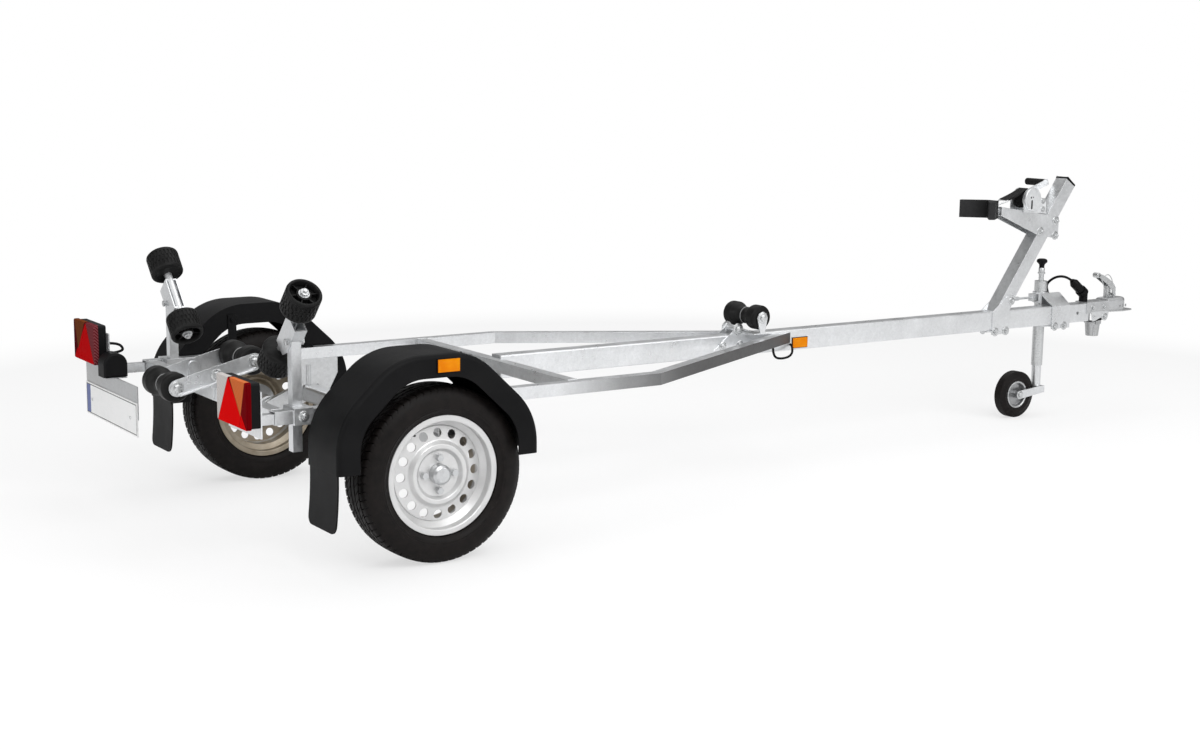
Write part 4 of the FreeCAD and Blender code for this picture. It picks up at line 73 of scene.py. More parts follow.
class Graph:
    """Shader nodes that start from one texture coordinate."""

    def __init__(self, tree, coordinate):
        self.tree = tree
        self.coords = self.node("ShaderNodeTexCoord").outputs
        self.space = self.coords[coordinate]

    def node(self, kind, **props):
        n = self.tree.nodes.new(kind)
        for key, val in props.items():
            setattr(n, key, val)
        return n

    def link(self, a, b):
        self.tree.links.new(a, b)

    def stretched(self, scale):
        n = self.node("ShaderNodeMapping")
        n.inputs["Scale"].default_value = scale
        self.link(self.space, n.inputs["Vector"])
        return n.outputs["Vector"]

    def noise(self, scale, detail=3.0, vector=None):
        n = self.node("ShaderNodeTexNoise")
        n.inputs["Scale"].default_value = scale
        n.inputs["Detail"].default_value = detail
        n.inputs["Roughness"].default_value = 0.55
        self.link(vector or self.space, n.inputs["Vector"])
        return n.outputs["Fac"]

    def cells(self, scale, out="Distance", random=1.0):
        n = self.node("ShaderNodeTexVoronoi", feature="F1")
        n.inputs["Scale"].default_value = scale
        n.inputs["Randomness"].default_value = random
        self.link(self.space, n.inputs["Vector"])
        return n.outputs[out]

    def cell_tones(self, scale):
        """One grey for each cell."""
        n = self.node("ShaderNodeRGBToBW")
        self.link(self.cells(scale, "Color"), n.inputs["Color"])
        return n.outputs["Val"]

    def wave(self, scale, direction):
        n = self.node("ShaderNodeTexWave", wave_type="BANDS", wave_profile="SIN", bands_direction=direction)
        n.inputs["Scale"].default_value = scale
        self.link(self.space, n.inputs["Vector"])
        return n.outputs["Fac"]

    def ramp(self, fac, stops):
        n = self.node("ShaderNodeValToRGB")
        ramp = n.color_ramp
        while len(ramp.elements) < len(stops):
            ramp.elements.new(0.5)
        for element, (pos, col) in zip(ramp.elements, stops):
            element.position = pos
            element.color = (*col, 1) if isinstance(col, tuple) else (col, col, col, 1)
        self.link(fac, n.inputs["Fac"])
        return n.outputs["Color"]

    def span(self, fac, low, high, start=0.0, end=1.0, kind="LINEAR"):
        """Low at the start of a range of values and high at its end, clamped beyond."""
        n = self.node("ShaderNodeMapRange", interpolation_type=kind)
        n.inputs["From Min"].default_value = start
        n.inputs["From Max"].default_value = end
        n.inputs["To Min"].default_value = low
        n.inputs["To Max"].default_value = high
        self.link(fac, n.inputs["Value"])
        return n.outputs["Result"]

    def vary(self, noise, low, high):
        """The same for a noise, whose values lie between 0.3 and 0.7."""
        return self.span(noise, low, high, 0.3, 0.7)

    def sums(self, a, b, operation="ADD"):
        n = self.node("ShaderNodeMath", operation=operation)
        for socket, val in zip(n.inputs, (a, b)):
            if isinstance(val, (int, float)):
                socket.default_value = val
            else:
                self.link(val, socket)
        return n.outputs["Value"]

    def times(self, a, b):
        return self.sums(a, b, "MULTIPLY")

    def minus(self, a, b):
        return self.sums(a, b, "SUBTRACT")

    def absolute(self, a):
        return self.sums(a, 0.0, "ABSOLUTE")

    def above(self, a, b):
        return self.sums(a, b, "GREATER_THAN")

    def below(self, a, b):
        return self.sums(a, b, "LESS_THAN")

    def vector_math(self, operation, place=None):
        """A number from the coordinate and, where the operation takes one, a place or direction."""
        n = self.node("ShaderNodeVectorMath", operation=operation)
        self.link(self.space, n.inputs[0])
        if place is not None:
            n.inputs[1].default_value = place
        return n.outputs["Value"]

    def mix(self, fac, a, b, kind="RGBA"):
        n = self.node("ShaderNodeMix", data_type=kind)
        for socket, val in ((n.inputs["Factor"], fac), (n.inputs["A"], a), (n.inputs["B"], b)):
            if isinstance(val, tuple):
                socket.default_value = (*val, 1)
            elif isinstance(val, (int, float)):
                socket.default_value = val
            else:
                self.link(val, socket)
        return n.outputs["Result"]

    def axis(self, which, source=None):
        n = self.node("ShaderNodeSeparateXYZ")
        self.link(source or self.space, n.inputs["Vector"])
        return n.outputs[which]


class Finish(Graph):
    """A procedural material: a Principled shader fed by textures in the object's own space."""

    def __init__(self, name):
        self.mat = bpy.data.materials.new(name)
        self.mat.use_nodes = True
        self.shader = next(n for n in self.mat.node_tree.nodes if n.type == "BSDF_PRINCIPLED")
        super().__init__(self.mat.node_tree, "Object")

    def set(self, **values):
        for key, val in values.items():
            self.shader.inputs[key.replace("_", " ")].default_value = val

    def colour(self, source):
        self.link(source, self.shader.inputs["Base Color"])

    def rough(self, source):
        self.link(source, self.shader.inputs["Roughness"])

    def relief(self, *layers, edge=0.0):
        """Each layer is (height source, depth in metres). An edge radius rounds bare edges in the shading."""
        normal = None
        if edge:
            n = self.node("ShaderNodeBevel", samples=4)
            n.inputs["Radius"].default_value = edge
            normal = n.outputs["Normal"]
        for height, depth in layers:
            n = self.node("ShaderNodeBump")
            n.inputs["Strength"].default_value = 1.0
            n.inputs["Distance"].default_value = depth
            self.link(height, n.inputs["Height"])
            if normal is not None:
                self.link(normal, n.inputs["Normal"])
            normal = n.outputs["Normal"]
        self.link(normal, self.shader.inputs["Normal"])


# The side rails' outer faces, in metres of the row frame: straight to the bend, then in towards the beam
RAIL_FACE, RAIL_BEND, RAIL_TAPER = 0.5494, -0.713, 0.5279
# where the band's painted shade starts to fade in along X and where it is full, in metres of the row frame
SHADE_FADE_START, SHADE_FADE_FULL = -1.118, -0.468


def label_and_painted_shade_share(f):
    """A dark band on a rail's outer face, partly a blank label and partly painted shade; its fade-in towards the bend
    is painted shade.
    """
    x = f.axis("X")
    tapered = f.times(f.sums(f.minus(x, RAIL_BEND), 0.0, "MAXIMUM"), RAIL_TAPER)
    face = f.above(f.absolute(f.axis("Y")), f.minus(RAIL_FACE, tapered))
    painted_shade_fade = f.ramp(f.span(x, 0.0, 1.0, SHADE_FADE_START, SHADE_FADE_FULL),
                  [(0.0, 0.0), (0.37, 0.61), (0.62, 0.82), (0.80, 0.94), (1.0, 0.985)])
    return f.times(face, painted_shade_fade)


def galvanised(name, tone=1.0, worn=0.0, film=False):
    spangles = 85                   # zinc crystals in a metre
    f = Finish(name)
    cell = f.cell_tones(spangles)
    cloud = f.noise(9, 4)
    fine = f.noise(160)
    tint = f.sums(f.span(cell, -0.035, 0.035), f.vary(cloud, -0.05, 0.05))
    tint = f.sums(tint, f.vary(fine, -0.03, 0.03))
    base = f.ramp(f.sums(tint, 0.77 * tone), [(0.0, (0.0, 0.0, 0.0)), (1.0, (0.985, 1.0, 1.015))])
    base = f.mix(f.span(f.noise(3.1, 5), 0.0, 0.07 + worn, 0.5, 0.75), base, (0.42, 0.40, 0.36))
    f.set(Metallic=0.88)
    # the side rails' dark band, partly a blank label and partly painted shade, is dark and not metallic
    if film:
        share = label_and_painted_shade_share(f)
        base = f.mix(share, base, (0.030, 0.029, 0.029))
        f.link(f.span(share, 0.88, 0.0), f.shader.inputs["Metallic"])
    f.colour(base)
    f.rough(f.sums(f.span(cell, 0.28, 0.38), f.vary(cloud, -0.04, 0.06)))
    f.relief((cloud, 0.0005), (fine, 0.00012), (f.cells(spangles), 0.00010), edge=0.0016)
    return f.mat


def zinc_bolt(name):
    f = Finish(name)
    n = f.noise(240, 4)
    f.colour(f.ramp(n, [(0.3, (0.50, 0.51, 0.52)), (0.7, (0.72, 0.73, 0.73))]))
    f.rough(f.vary(n, 0.22, 0.42))
    f.set(Metallic=0.95)
    f.relief((n, 0.00008), edge=0.0006)
    return f.mat


def silver_paint(name):
    """Silver outside; the sides towards the frame are dull primer with road dirt."""
    barrel_end, dish_start = 0.643, 0.652       # in metres from the trailer's middle
    f = Finish(name)
    cloud = f.noise(14)
    tone = f.sums(f.span(f.cell_tones(2200), -0.05, 0.05), f.vary(cloud, 0.66, 0.74))
    outer = f.ramp(tone, [(0.0, (0, 0, 0)), (1.0, (1.0, 1.0, 1.0))])
    y = f.axis("Y")
    outward = f.times(f.axis("Y", f.coords["Normal"]), f.sums(y, 0.0, "SIGN"))
    inner_face = f.span(outward, 1.0, 0.0, -0.35, -0.10)
    dirt = f.noise(22, 5)
    primer = f.ramp(dirt, [(0.3, (0.26, 0.215, 0.155)), (0.72, (0.40, 0.345, 0.27))])
    barrel = f.span(f.sums(f.absolute(y), f.span(dirt, -0.004, 0.004)), 1.0, 0.0, barrel_end, dish_start)
    f.colour(f.mix(f.sums(barrel, inner_face, "MAXIMUM"), outer, primer))
    f.rough(f.vary(cloud, 0.34, 0.42))
    f.set(Metallic=0.55, Coat_Weight=0.2, Coat_Roughness=0.25)
    f.relief((f.noise(420, 2), 0.00006), (cloud, 0.0004), edge=0.0012)
    return f.mat


def tyre_rubber(name):
    f = Finish(name)
    n = f.noise(45, 5)
    f.colour(f.ramp(n, [(0.3, (0.00504, 0.0042, 0.0040)), (0.72, (0.01232, 0.0098, 0.0092))]))
    f.rough(f.vary(n, 0.42, 0.58))
    f.set(Specular_IOR_Level=0.14)
    f.relief((n, 0.0004), (f.noise(900, 2), 0.00010))
    return f.mat


def black_rubber(name):
    f = Finish(name)
    n = f.noise(60, 4)
    scuff = f.noise(18, 5, vector=f.stretched((1, 4, 1)))
    f.colour(f.ramp(scuff, [(0.35, (0.007, 0.007, 0.007)), (0.75, (0.017, 0.017, 0.017))]))
    f.rough(f.vary(n, 0.36, 0.50))
    f.set(Specular_IOR_Level=0.13)
    f.relief((f.noise(520, 2), 0.00008), (n, 0.0005), edge=0.0012)
    return f.mat


def block_rubber(name):
    """Dark grey rubber that turns black towards the foot of the vee."""
    grey_until, black_from = 1.292, 1.338       # along X, in metres of the row frame
    f = Finish(name)
    n = f.noise(60, 4)
    deep = f.span(f.axis("X"), 0.0, 1.0, grey_until, black_from)
    grey = f.ramp(n, [(0.35, (0.021, 0.021, 0.022)), (0.75, (0.032, 0.032, 0.033))])
    f.colour(f.mix(deep, grey, (0.004, 0.004, 0.004)))
    f.rough(f.vary(n, 0.50, 0.64))
    f.set(Specular_IOR_Level=0.15)
    f.relief((f.noise(520, 2), 0.00008), (n, 0.0005), edge=0.0014)
    return f.mat


def black_plastic(name, rough=0.46, grain=0.00012):
    f = Finish(name)
    n = f.noise(8)
    f.colour(f.ramp(n, [(0.3, (0.0045, 0.0045, 0.005)), (0.7, (0.008, 0.008, 0.0085))]))
    f.rough(f.vary(n, rough - 0.05, rough + 0.07))
    f.set(Specular_IOR_Level=0.09)
    f.relief((f.cells(620), grain), (n, 0.0010), edge=0.0015)
    return f.mat


def grey_plastic(name):
    f = Finish(name)
    n = f.noise(30)
    f.colour(f.ramp(n, [(0.3, (0.27, 0.276, 0.282)), (0.7, (0.30, 0.30, 0.30))]))
    f.rough(f.vary(n, 0.36, 0.48))
    f.relief((f.cells(700), 0.00008), edge=0.001)
    return f.mat


def plate_face(name, low, high):
    """A blank plate: white with a thin dark line round it and a blue band at its outer end."""
    line_start, line_end, band_width = 0.0045, 0.0075, 0.045
    f = Finish(name)
    film = f.cells(900)
    white = f.ramp(f.noise(40), [(0.3, (0.90, 0.91, 0.91)), (0.7, (0.95, 0.95, 0.95))])

    def from_edge(axis, k):
        middle, half = (low[k] + high[k]) / 2, (high[k] - low[k]) / 2
        share = f.absolute(f.sums(f.minus(f.axis(axis), middle), half, "DIVIDE"))
        return f.times(f.minus(1.0, share), half)

    near = f.sums(from_edge("Y", 1), from_edge("Z", 2), "MINIMUM")
    inside = f.above(near, line_start)
    line = f.times(inside, f.below(near, line_end))
    band = f.times(f.above(f.axis("Y"), high[1] - band_width), inside)
    f.colour(f.mix(line, f.mix(band, white, (0.035, 0.075, 0.30)), (0.02, 0.02, 0.02)))
    f.rough(f.span(film, 0.26, 0.34))
    f.relief((line, 0.0006), (film, 0.00002))
    return f.mat


def amber_lens(name):
    f = Finish(name)
    flutes = f.wave(200, "X")
    depth = f.sums(f.span(flutes, 0.0, 0.55), f.vary(f.noise(30, 2), 0.0, 0.45))
    f.colour(f.ramp(depth, [(0.1, (0.86, 0.20, 0.002)), (0.9, (1.0, 0.36, 0.006))]))
    f.set(Roughness=0.12, Coat_Weight=0.04, Coat_Roughness=0.08, Specular_IOR_Level=0.02)
    f.relief((flutes, 0.0004), (f.cells(330, random=0.0), 0.0004), edge=0.0014)
    return f.mat


def tail_lens(name, low, high):
    """The rear lamp: a pale inner corner, a bright red triangle, an orange one and deep red between."""
    lens_width, seam_width = 0.212, 0.016
    f = Finish(name)
    u = f.span(f.absolute(f.axis("Y")), 0.0, 1.0, high[1] - lens_width, high[1])
    v = f.span(f.axis("Z"), 0.0, 1.0, low[2], high[2])
    # each line between colours is u = a number at the foot + slope x v
    inner, slant, left, right = (f.minus(u, f.sums(f.times(v, slope), foot))
                                 for foot, slope in ((0.03, 0.37), (1.0, -0.60), (0.917, -0.467), (0.75, 0.20)))
    pale = f.below(inner, 0.0)
    bright = f.times(f.above(inner, 0.0), f.below(slant, 0.0))
    orange = f.times(f.above(left, 0.0), f.below(right, 0.0))
    flutes = f.wave(150, "Y")
    steps = f.wave(95, "Z")
    prism = f.cells(210, random=0.0)
    stripes = f.wave(60, "DIAGONAL")
    # the left lamp's colours are the right lamp's painted darker, as painted shade, since the prisms send light back
    # to one side
    painted_shade_side = f.above(f.axis("Y"), 0.0)

    def zone(source, lit, dark):
        """Each pair of colours is (low, high); the second pair is for the left lamp, darker as painted shade."""
        ends = [f.ramp(source, [(0.15, a), (0.85, b)]) for a, b in (lit, dark)]
        return f.mix(painted_shade_side, *ends)

    col = zone(flutes, ((0.10, 0.0, 0.002), (0.20, 0.001, 0.003)), ((0.045, 0.001, 0.003), (0.09, 0.001, 0.004)))
    for where, source, lit, dark in (
            (bright, prism, ((0.80, 0.002, 0.002), (0.60, 0.0, 0.001)), ((0.56, 0.002, 0.003), (0.38, 0.0, 0.002))),
            (orange, steps, ((0.54, 0.11, 0.025), (0.64, 0.18, 0.06)), ((0.11, 0.028, 0.008), (0.16, 0.045, 0.014))),
            (pale, stripes, ((0.50, 0.47, 0.46), (0.62, 0.59, 0.57)), ((0.09, 0.004, 0.007), (0.22, 0.06, 0.068)))):
        col = f.mix(where, col, zone(source, lit, dark))
    for edge in (inner, slant, left, right):
        seam = f.span(f.absolute(edge), 0.65, 0.0, 0.0, seam_width)
        col = f.mix(f.times(seam, 0.6), col, (0.10, 0.002, 0.002))
    f.colour(col)
    f.set(Roughness=0.2, Coat_Weight=0.03, Coat_Roughness=0.06, Specular_IOR_Level=0.0)
    f.relief((flutes, 0.0002), (prism, 0.0002), (steps, 0.0001))
    return f.mat


def webbing(name):
    f = Finish(name)
    weave = f.times(f.wave(700, "Z"), f.wave(520, "Y"))
    f.colour(f.ramp(weave, [(0.1, (0.005, 0.005, 0.005)), (0.9, (0.016, 0.016, 0.017))]))
    f.set(Roughness=0.78, Sheen_Weight=0.05, Specular_IOR_Level=0.15)
    f.relief((weave, 0.0006))
    return f.mat


FINISHES = {
    "zinc": galvanised("galvanised_steel"),
    # the side rails, with a dark band on their outer faces that is partly a blank label and partly painted shade
    "rail": galvanised("galvanised_steel_label_and_painted_shade", film=True),
    "zinc_dull": galvanised("galvanised_steel_dull", tone=0.78, worn=0.10),
    "cup_zinc": galvanised("galvanised_steel_grey", tone=0.62, worn=0.10),
    "bolt": zinc_bolt("zinc_plated_steel"),
    "white_zinc": galvanised("bright_zinc_steel", tone=1.16),
    "dark_zinc": galvanised("dull_zinc_steel", tone=0.55, worn=0.2),
    "silver": silver_paint("silver_wheel_paint"),
    "tyre": tyre_rubber("tyre_rubber"),
    "rubber": black_rubber("black_rubber"),
    "block": block_rubber("bow_block_rubber"),
    "cable": black_plastic("cable_sheath", rough=0.34, grain=0.00002),
    "plastic": black_plastic("black_moulded_plastic"),
    "gloss": black_plastic("black_smooth_plastic", rough=0.28, grain=0.00005),
    "grey": grey_plastic("grey_plastic"),
    "red": tail_lens("tail_lamp_lens", *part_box("lamp_lenses")),
    "amber": amber_lens("amber_reflector"),
    "strap": webbing("black_webbing"),
    "plate": plate_face("blank_plate", *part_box("number_plate")),
}

NODE_FINISH = {
    "rail": ["side_rails"],
    "zinc": ["main_beam", "cross_members", "roller_posts", "post_clamps", "keel_rocker_ears",
             "keel_roller_bracket", "winch_post", "post_shoe", "bow_arm", "jockey_bracket",
             "lamp_bars", "lamp_plates", "side_rocker_left", "side_rocker_right", "keel_rocker",
             "winch_drum", "winch_crank", "jockey_fork", "coupling_lever"],
    "bolt": ["jockey_tube"],
    "cup_zinc": ["coupling_cup", "plate_holder"],
    "zinc_dull": ["coupling_head", "axle_tube", "axle_brackets", "swing_arms", "wheel_hub_left", "wheel_hub_right"],
    "white_zinc": ["winch_frame", "winch_guard", "strap_hook"],
    "dark_zinc": ["jockey_rim"],
    "silver": ["wheel_rim_left", "wheel_rim_right"],
    "tyre": ["tyre_left", "tyre_right", "jockey_tyre"],
    "rubber": ["side_roller_left_outer", "side_roller_left_inner", "side_roller_right_outer",
               "side_roller_right_inner", "keel_roller_tail", "keel_roller_head", "keel_roller_beam"],
    "plastic": ["mudguards", "mudflaps", "lamp_housings", "guard_stays", "plate_lamp"],
    "block": ["bow_block"],
    "cable": ["plug_cable", "frame_cables"],
    "gloss": ["parked_plug", "jockey_knob"],
    "red": ["lamp_lenses"],
    "amber": ["side_reflectors"],
    "strap": ["winch_strap", "strap_run"],
    "plate": ["number_plate"],
}
for finish, names in NODE_FINISH.items():
    for name in names:
        node = frame["nodes"][name]
        node.data.materials.clear()
        node.data.materials.append(FINISHES[finish])


# Mesh helpers

JOINTS = {joint["name"]: joint for joint in frame["joints"]}
FROM_AXLE = Matrix.Translation(at(0, 0, 0))


def stand(place, direction, spin=0.0):
    """A frame at a place in metres, with its +Z turned to a direction."""
    turned = Vector(direction).normalized().to_track_quat("Z", "Y").to_matrix().to_4x4()
    return Matrix.Translation(place) @ turned @ Matrix.Rotation(spin, 4, "Z")


def placed(name, data, body, finish, replaces):
    """Puts mesh or curve data into the scene on a body."""
    data.materials.append(FINISHES[finish])
    thing = bpy.data.objects.new(name, data)
    bpy.context.scene.collection.objects.link(thing)
    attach(thing, body)
    if replaces:
        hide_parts(*replaces)


def piece(name, bm, body, finish, replaces=(), smooth=35.0):
    bmesh.ops.recalc_face_normals(bm, faces=bm.faces)
    mesh = bpy.data.meshes.new(name)
    bm.to_mesh(mesh)
    bm.free()
    mesh.shade_smooth()
    mesh.set_sharp_from_angle(angle=math.radians(smooth))
    placed(name, mesh, body, finish, replaces)


def wire(name, routes, radius, body, finish, replaces=(), ring=False):
    """Round cords or wires along routes given in mm from the axle."""
    line = bpy.data.curves.new(name, "CURVE")
    line.dimensions = "3D"
    line.bevel_depth = radius * MM
    line.bevel_resolution = 4
    line.resolution_u = 10
    line.use_fill_caps = True
    for route in routes:
        spline = line.splines.new("NURBS")
        spline.points.add(len(route) - 1)
        for point, spot in zip(spline.points, route):
            point.co = (*at(*spot), 1.0)
        spline.order_u = 3
        spline.use_endpoint_u = not ring
        spline.use_cyclic_u = ring
    placed(name, line, body, finish, replaces)


def loft(bm, rings, closed=False, caps=False):
    """Joins rings of points with quads, back to the first ring or with a face at each end."""
    rows = [[bm.verts.new(p) for p in ring] for ring in rings]
    count = len(rows[0])
    for i in range(len(rows) if closed else len(rows) - 1):
        a, b = rows[i], rows[(i + 1) % len(rows)]
        for j in range(count):
            k = (j + 1) % count
            bm.faces.new((a[j], a[k], b[k], b[j]))
    if caps:
        bm.faces.new(rows[0])
        bm.faces.new(rows[-1])
    return rows


def lathe(bm, profile, matrix, count=64, closed=False):
    """Turns (radius, height) points in mm about the matrix's Z axis."""
    turns = [TURN * k / count for k in range(count)]
    rings = [[matrix @ Vector((r * MM * math.cos(a), r * MM * math.sin(a), z * MM)) for a in turns]
             for r, z in profile]
    loft(bm, rings, closed, not closed)


def block(bm, m, low, high, edge):
    """A box with softened edges, from one corner to the other in mm in the matrix's frame."""
    corners = bmesh.ops.create_cube(bm, size=1.0)["verts"]
    for v in corners:
        v.co = m @ (Vector([(a + b) / 2 + c * (b - a) for a, b, c in zip(low, high, v.co)]) * MM)
    # each edge once, in an order that is the same in every run
    edges = list(dict.fromkeys(e for v in corners for e in v.link_edges))
    bmesh.ops.bevel(bm, geom=edges, offset=edge * MM, segments=2, profile=0.6, affect="EDGES")


def sheet(bm, outline, sides):
    """A flat sheet between two places across, from its outline of (x, z) in mm."""
    rows = loft(bm, [[at(x, y, z) for x, z in outline] for y in sides])
    bmesh.ops.triangulate(bm, faces=[bm.faces.new(row) for row in rows])


def fill_across(bm, row):
    """Fills a long outline with quads from one side to the other."""
    for a in range(len(row) // 2 - 1):
        b = len(row) - 1 - a
        bm.faces.new((row[a], row[a + 1], row[b - 1], row[b]))


def hex_head(bm, place, axis, across, height, washer=True, stud=0.0):
    """A bolt head or nut with a chamfered top, on its washer. Sizes in mm, the place in metres."""
    twist, washer_height = 0.3, 1.6
    m = stand(place, axis, twist)
    base = 0.0
    if washer:
        base, w = washer_height, across * 0.98
        lathe(bm, [(w * 0.4, 0), (w, 0), (w, base * 0.7), (w * 0.95, base), (w * 0.4, base)], m, 28)
    r, top = across / math.sqrt(3), base + height
    lathe(bm, [(r, base), (r, base + height * 0.86), (r * 0.86, top)], m, 6)
    if stud:
        s, end = across * 0.3, top + stud
        lathe(bm, [(s, base + height * 0.8), (s, end - 0.2 * s), (s * 0.8, end)], m, 18)


def bolts(name, body, heads, finish="bolt"):
    """Each head is (place, direction, size across flats, height, washer or not, stud's length)."""
    bm = bmesh.new()
    for head in heads:
        hex_head(bm, *head)
    piece(name, bm, body, finish)


# Camera at the photograph's place, in metres

CAMERA_SPOT = (-4.1041, -5.2235, 1.4453)
FOCAL_LENGTH_MM = 53.345


def photo_camera():
    yaw, pitch, roll = (math.radians(a) for a in (56.036, 9.6207, -0.7158))
    ahead = Vector((math.cos(yaw) * math.cos(pitch), math.sin(yaw) * math.cos(pitch), -math.sin(pitch)))
    right = Vector((math.sin(yaw), -math.cos(yaw), 0))
    down = ahead.cross(right)
    right_r = right * math.cos(roll) + down * math.sin(roll)
    down_r = down * math.cos(roll) - right * math.sin(roll)
    data = bpy.data.cameras.new("photo_camera")
    data.lens = FOCAL_LENGTH_MM
    data.sensor_width = 36
    data.sensor_fit = "HORIZONTAL"
    data.clip_end = 200
    camera = bpy.data.objects.new("photo_camera", data)
    axes = Matrix((right_r, -down_r, -ahead)).transposed().to_4x4()
    camera.matrix_world = Matrix.Translation(CAMERA_SPOT) @ axes
    bpy.context.scene.collection.objects.link(camera)
    bpy.context.scene.camera = camera


photo_camera()


# Floor, world and lamps

def studio_floor():
    half = 40.0
    cloth_spot = (0.35, 1.05, 0)
    fade_start, fade_end, least_glow = 2.6, 4.6, 0.62
    mesh = bpy.data.meshes.new("studio_floor")
    mesh.from_pydata([(-half, -half, 0), (half, -half, 0), (half, half, 0), (-half, half, 0)], [], [(0, 1, 2, 3)])
    floor = bpy.data.objects.new("studio_floor", mesh)
    bpy.context.scene.collection.objects.link(floor)
    f = Finish("studio_floor")
    path = f.node("ShaderNodeLightPath").outputs
    pale = f.ramp(f.noise(0.6, 2), [(0.3, (0.90, 0.901, 0.904)), (0.7, (0.91, 0.911, 0.913))])
    # a dark cloth on the floor, seen only in the round tubes
    off_cloth = f.span(f.vector_math("DISTANCE", cloth_spot), 0.10, 1.0, 0.45, 1.05)
    in_tubes = f.times(path["Is Glossy Ray"], f.minus(1.0, off_cloth))
    seen = f.sums(path["Is Camera Ray"], path["Is Glossy Ray"], "MAXIMUM")
    f.colour(f.mix(seen, (0.60, 0.60, 0.60), f.mix(in_tubes, pale, (0.02, 0.02, 0.02))))
    f.set(Roughness=1.0, Specular_IOR_Level=0.0)
    # far from the trailer the floor runs out into the white backdrop
    far = f.span(f.vector_math("LENGTH"), 0.0, 1.0, fade_start, fade_end, "SMOOTHSTEP")
    blend = f.node("ShaderNodeMixShader")
    f.link(f.times(f.sums(far, least_glow, "MAXIMUM"), path["Is Camera Ray"]), blend.inputs["Fac"])
    f.link(f.shader.outputs["BSDF"], blend.inputs[1])
    f.link(f.node("ShaderNodeEmission").outputs["Emission"], blend.inputs[2])
    out = next(n for n in f.tree.nodes if n.type == "OUTPUT_MATERIAL")
    f.link(blend.outputs["Shader"], out.inputs["Surface"])
    mesh.materials.append(f.mat)


def studio_world():
    world = bpy.data.worlds.new("studio")
    bpy.context.scene.world = world
    world.use_nodes = True
    world.node_tree.nodes.clear()
    g = Graph(world.node_tree, "Generated")
    # brighter overhead, darker beyond the coupling
    level = g.times(g.span(g.axis("Z"), 0.55, 0.92, -0.05, 0.75),
                    g.span(g.axis("X"), 1.0, 0.30, 0.55, 0.95, "SMOOTHSTEP"))
    # dark flags beside the set give the flat faces and round tubes their darker sides; the two numbers
    # after a flag's direction are the cosines at its rim and its core, the last is its level
    for aim, rim, core, dark in (((-0.45, 0.75, 0.48), 0.78, 0.95, 0.22),
                                 ((-0.60, -0.80, 0.0), 0.86, 0.98, 0.20),
                                 ((0.56, 0.83, 0.14), 0.82, 0.97, 0.42)):
        towards = g.vector_math("DOT_PRODUCT", Vector(aim).normalized())
        level = g.times(level, g.span(towards, 1.0, dark, rim, core, "SMOOTHSTEP"))
    backdrop = g.node("ShaderNodeLightPath").outputs["Is Camera Ray"]
    back = g.node("ShaderNodeBackground")
    back.inputs["Color"].default_value = (1, 1, 1, 1)
    g.link(g.mix(backdrop, level, 1.0, "FLOAT"), back.inputs["Strength"])
    g.link(back.outputs["Background"], g.node("ShaderNodeOutputWorld").inputs["Surface"])


def studio_lamps():
    """Each lamp has a place, a point that it looks at, a size in metres and a power in watts."""
    for name, spot, aim, size, power in (
            ("key_lamp", (-1.6, -4.6, 4.0), (-0.6, 0.0, 0.3), 3.0, 105.0),
            ("rear_lamp", (-5.4, -0.6, 1.9), (-2.2, 0.0, 0.5), 1.6, 34.0),
            ("fill_lamp", (2.6, -4.4, 2.6), (0.6, 0.0, 0.6), 2.6, 52.0),
            ("top_lamp", (0.2, 0.4, 5.0), (0.0, 0.0, 0.4), 3.4, 40.0)):
        data = bpy.data.lights.new(name, "AREA")
        data.shape = "SQUARE"
        data.size = size
        data.energy = power
        lamp = bpy.data.objects.new(name, data)
        lamp.matrix_world = stand(spot, Vector(spot) - Vector(aim))
        bpy.context.scene.collection.objects.link(lamp)


studio_floor()
studio_world()
studio_lamps()
bpy.context.scene.view_settings.view_transform = "Standard"


# Road tyres: a rounded carcass with shoulder blocks, ribs and grooves

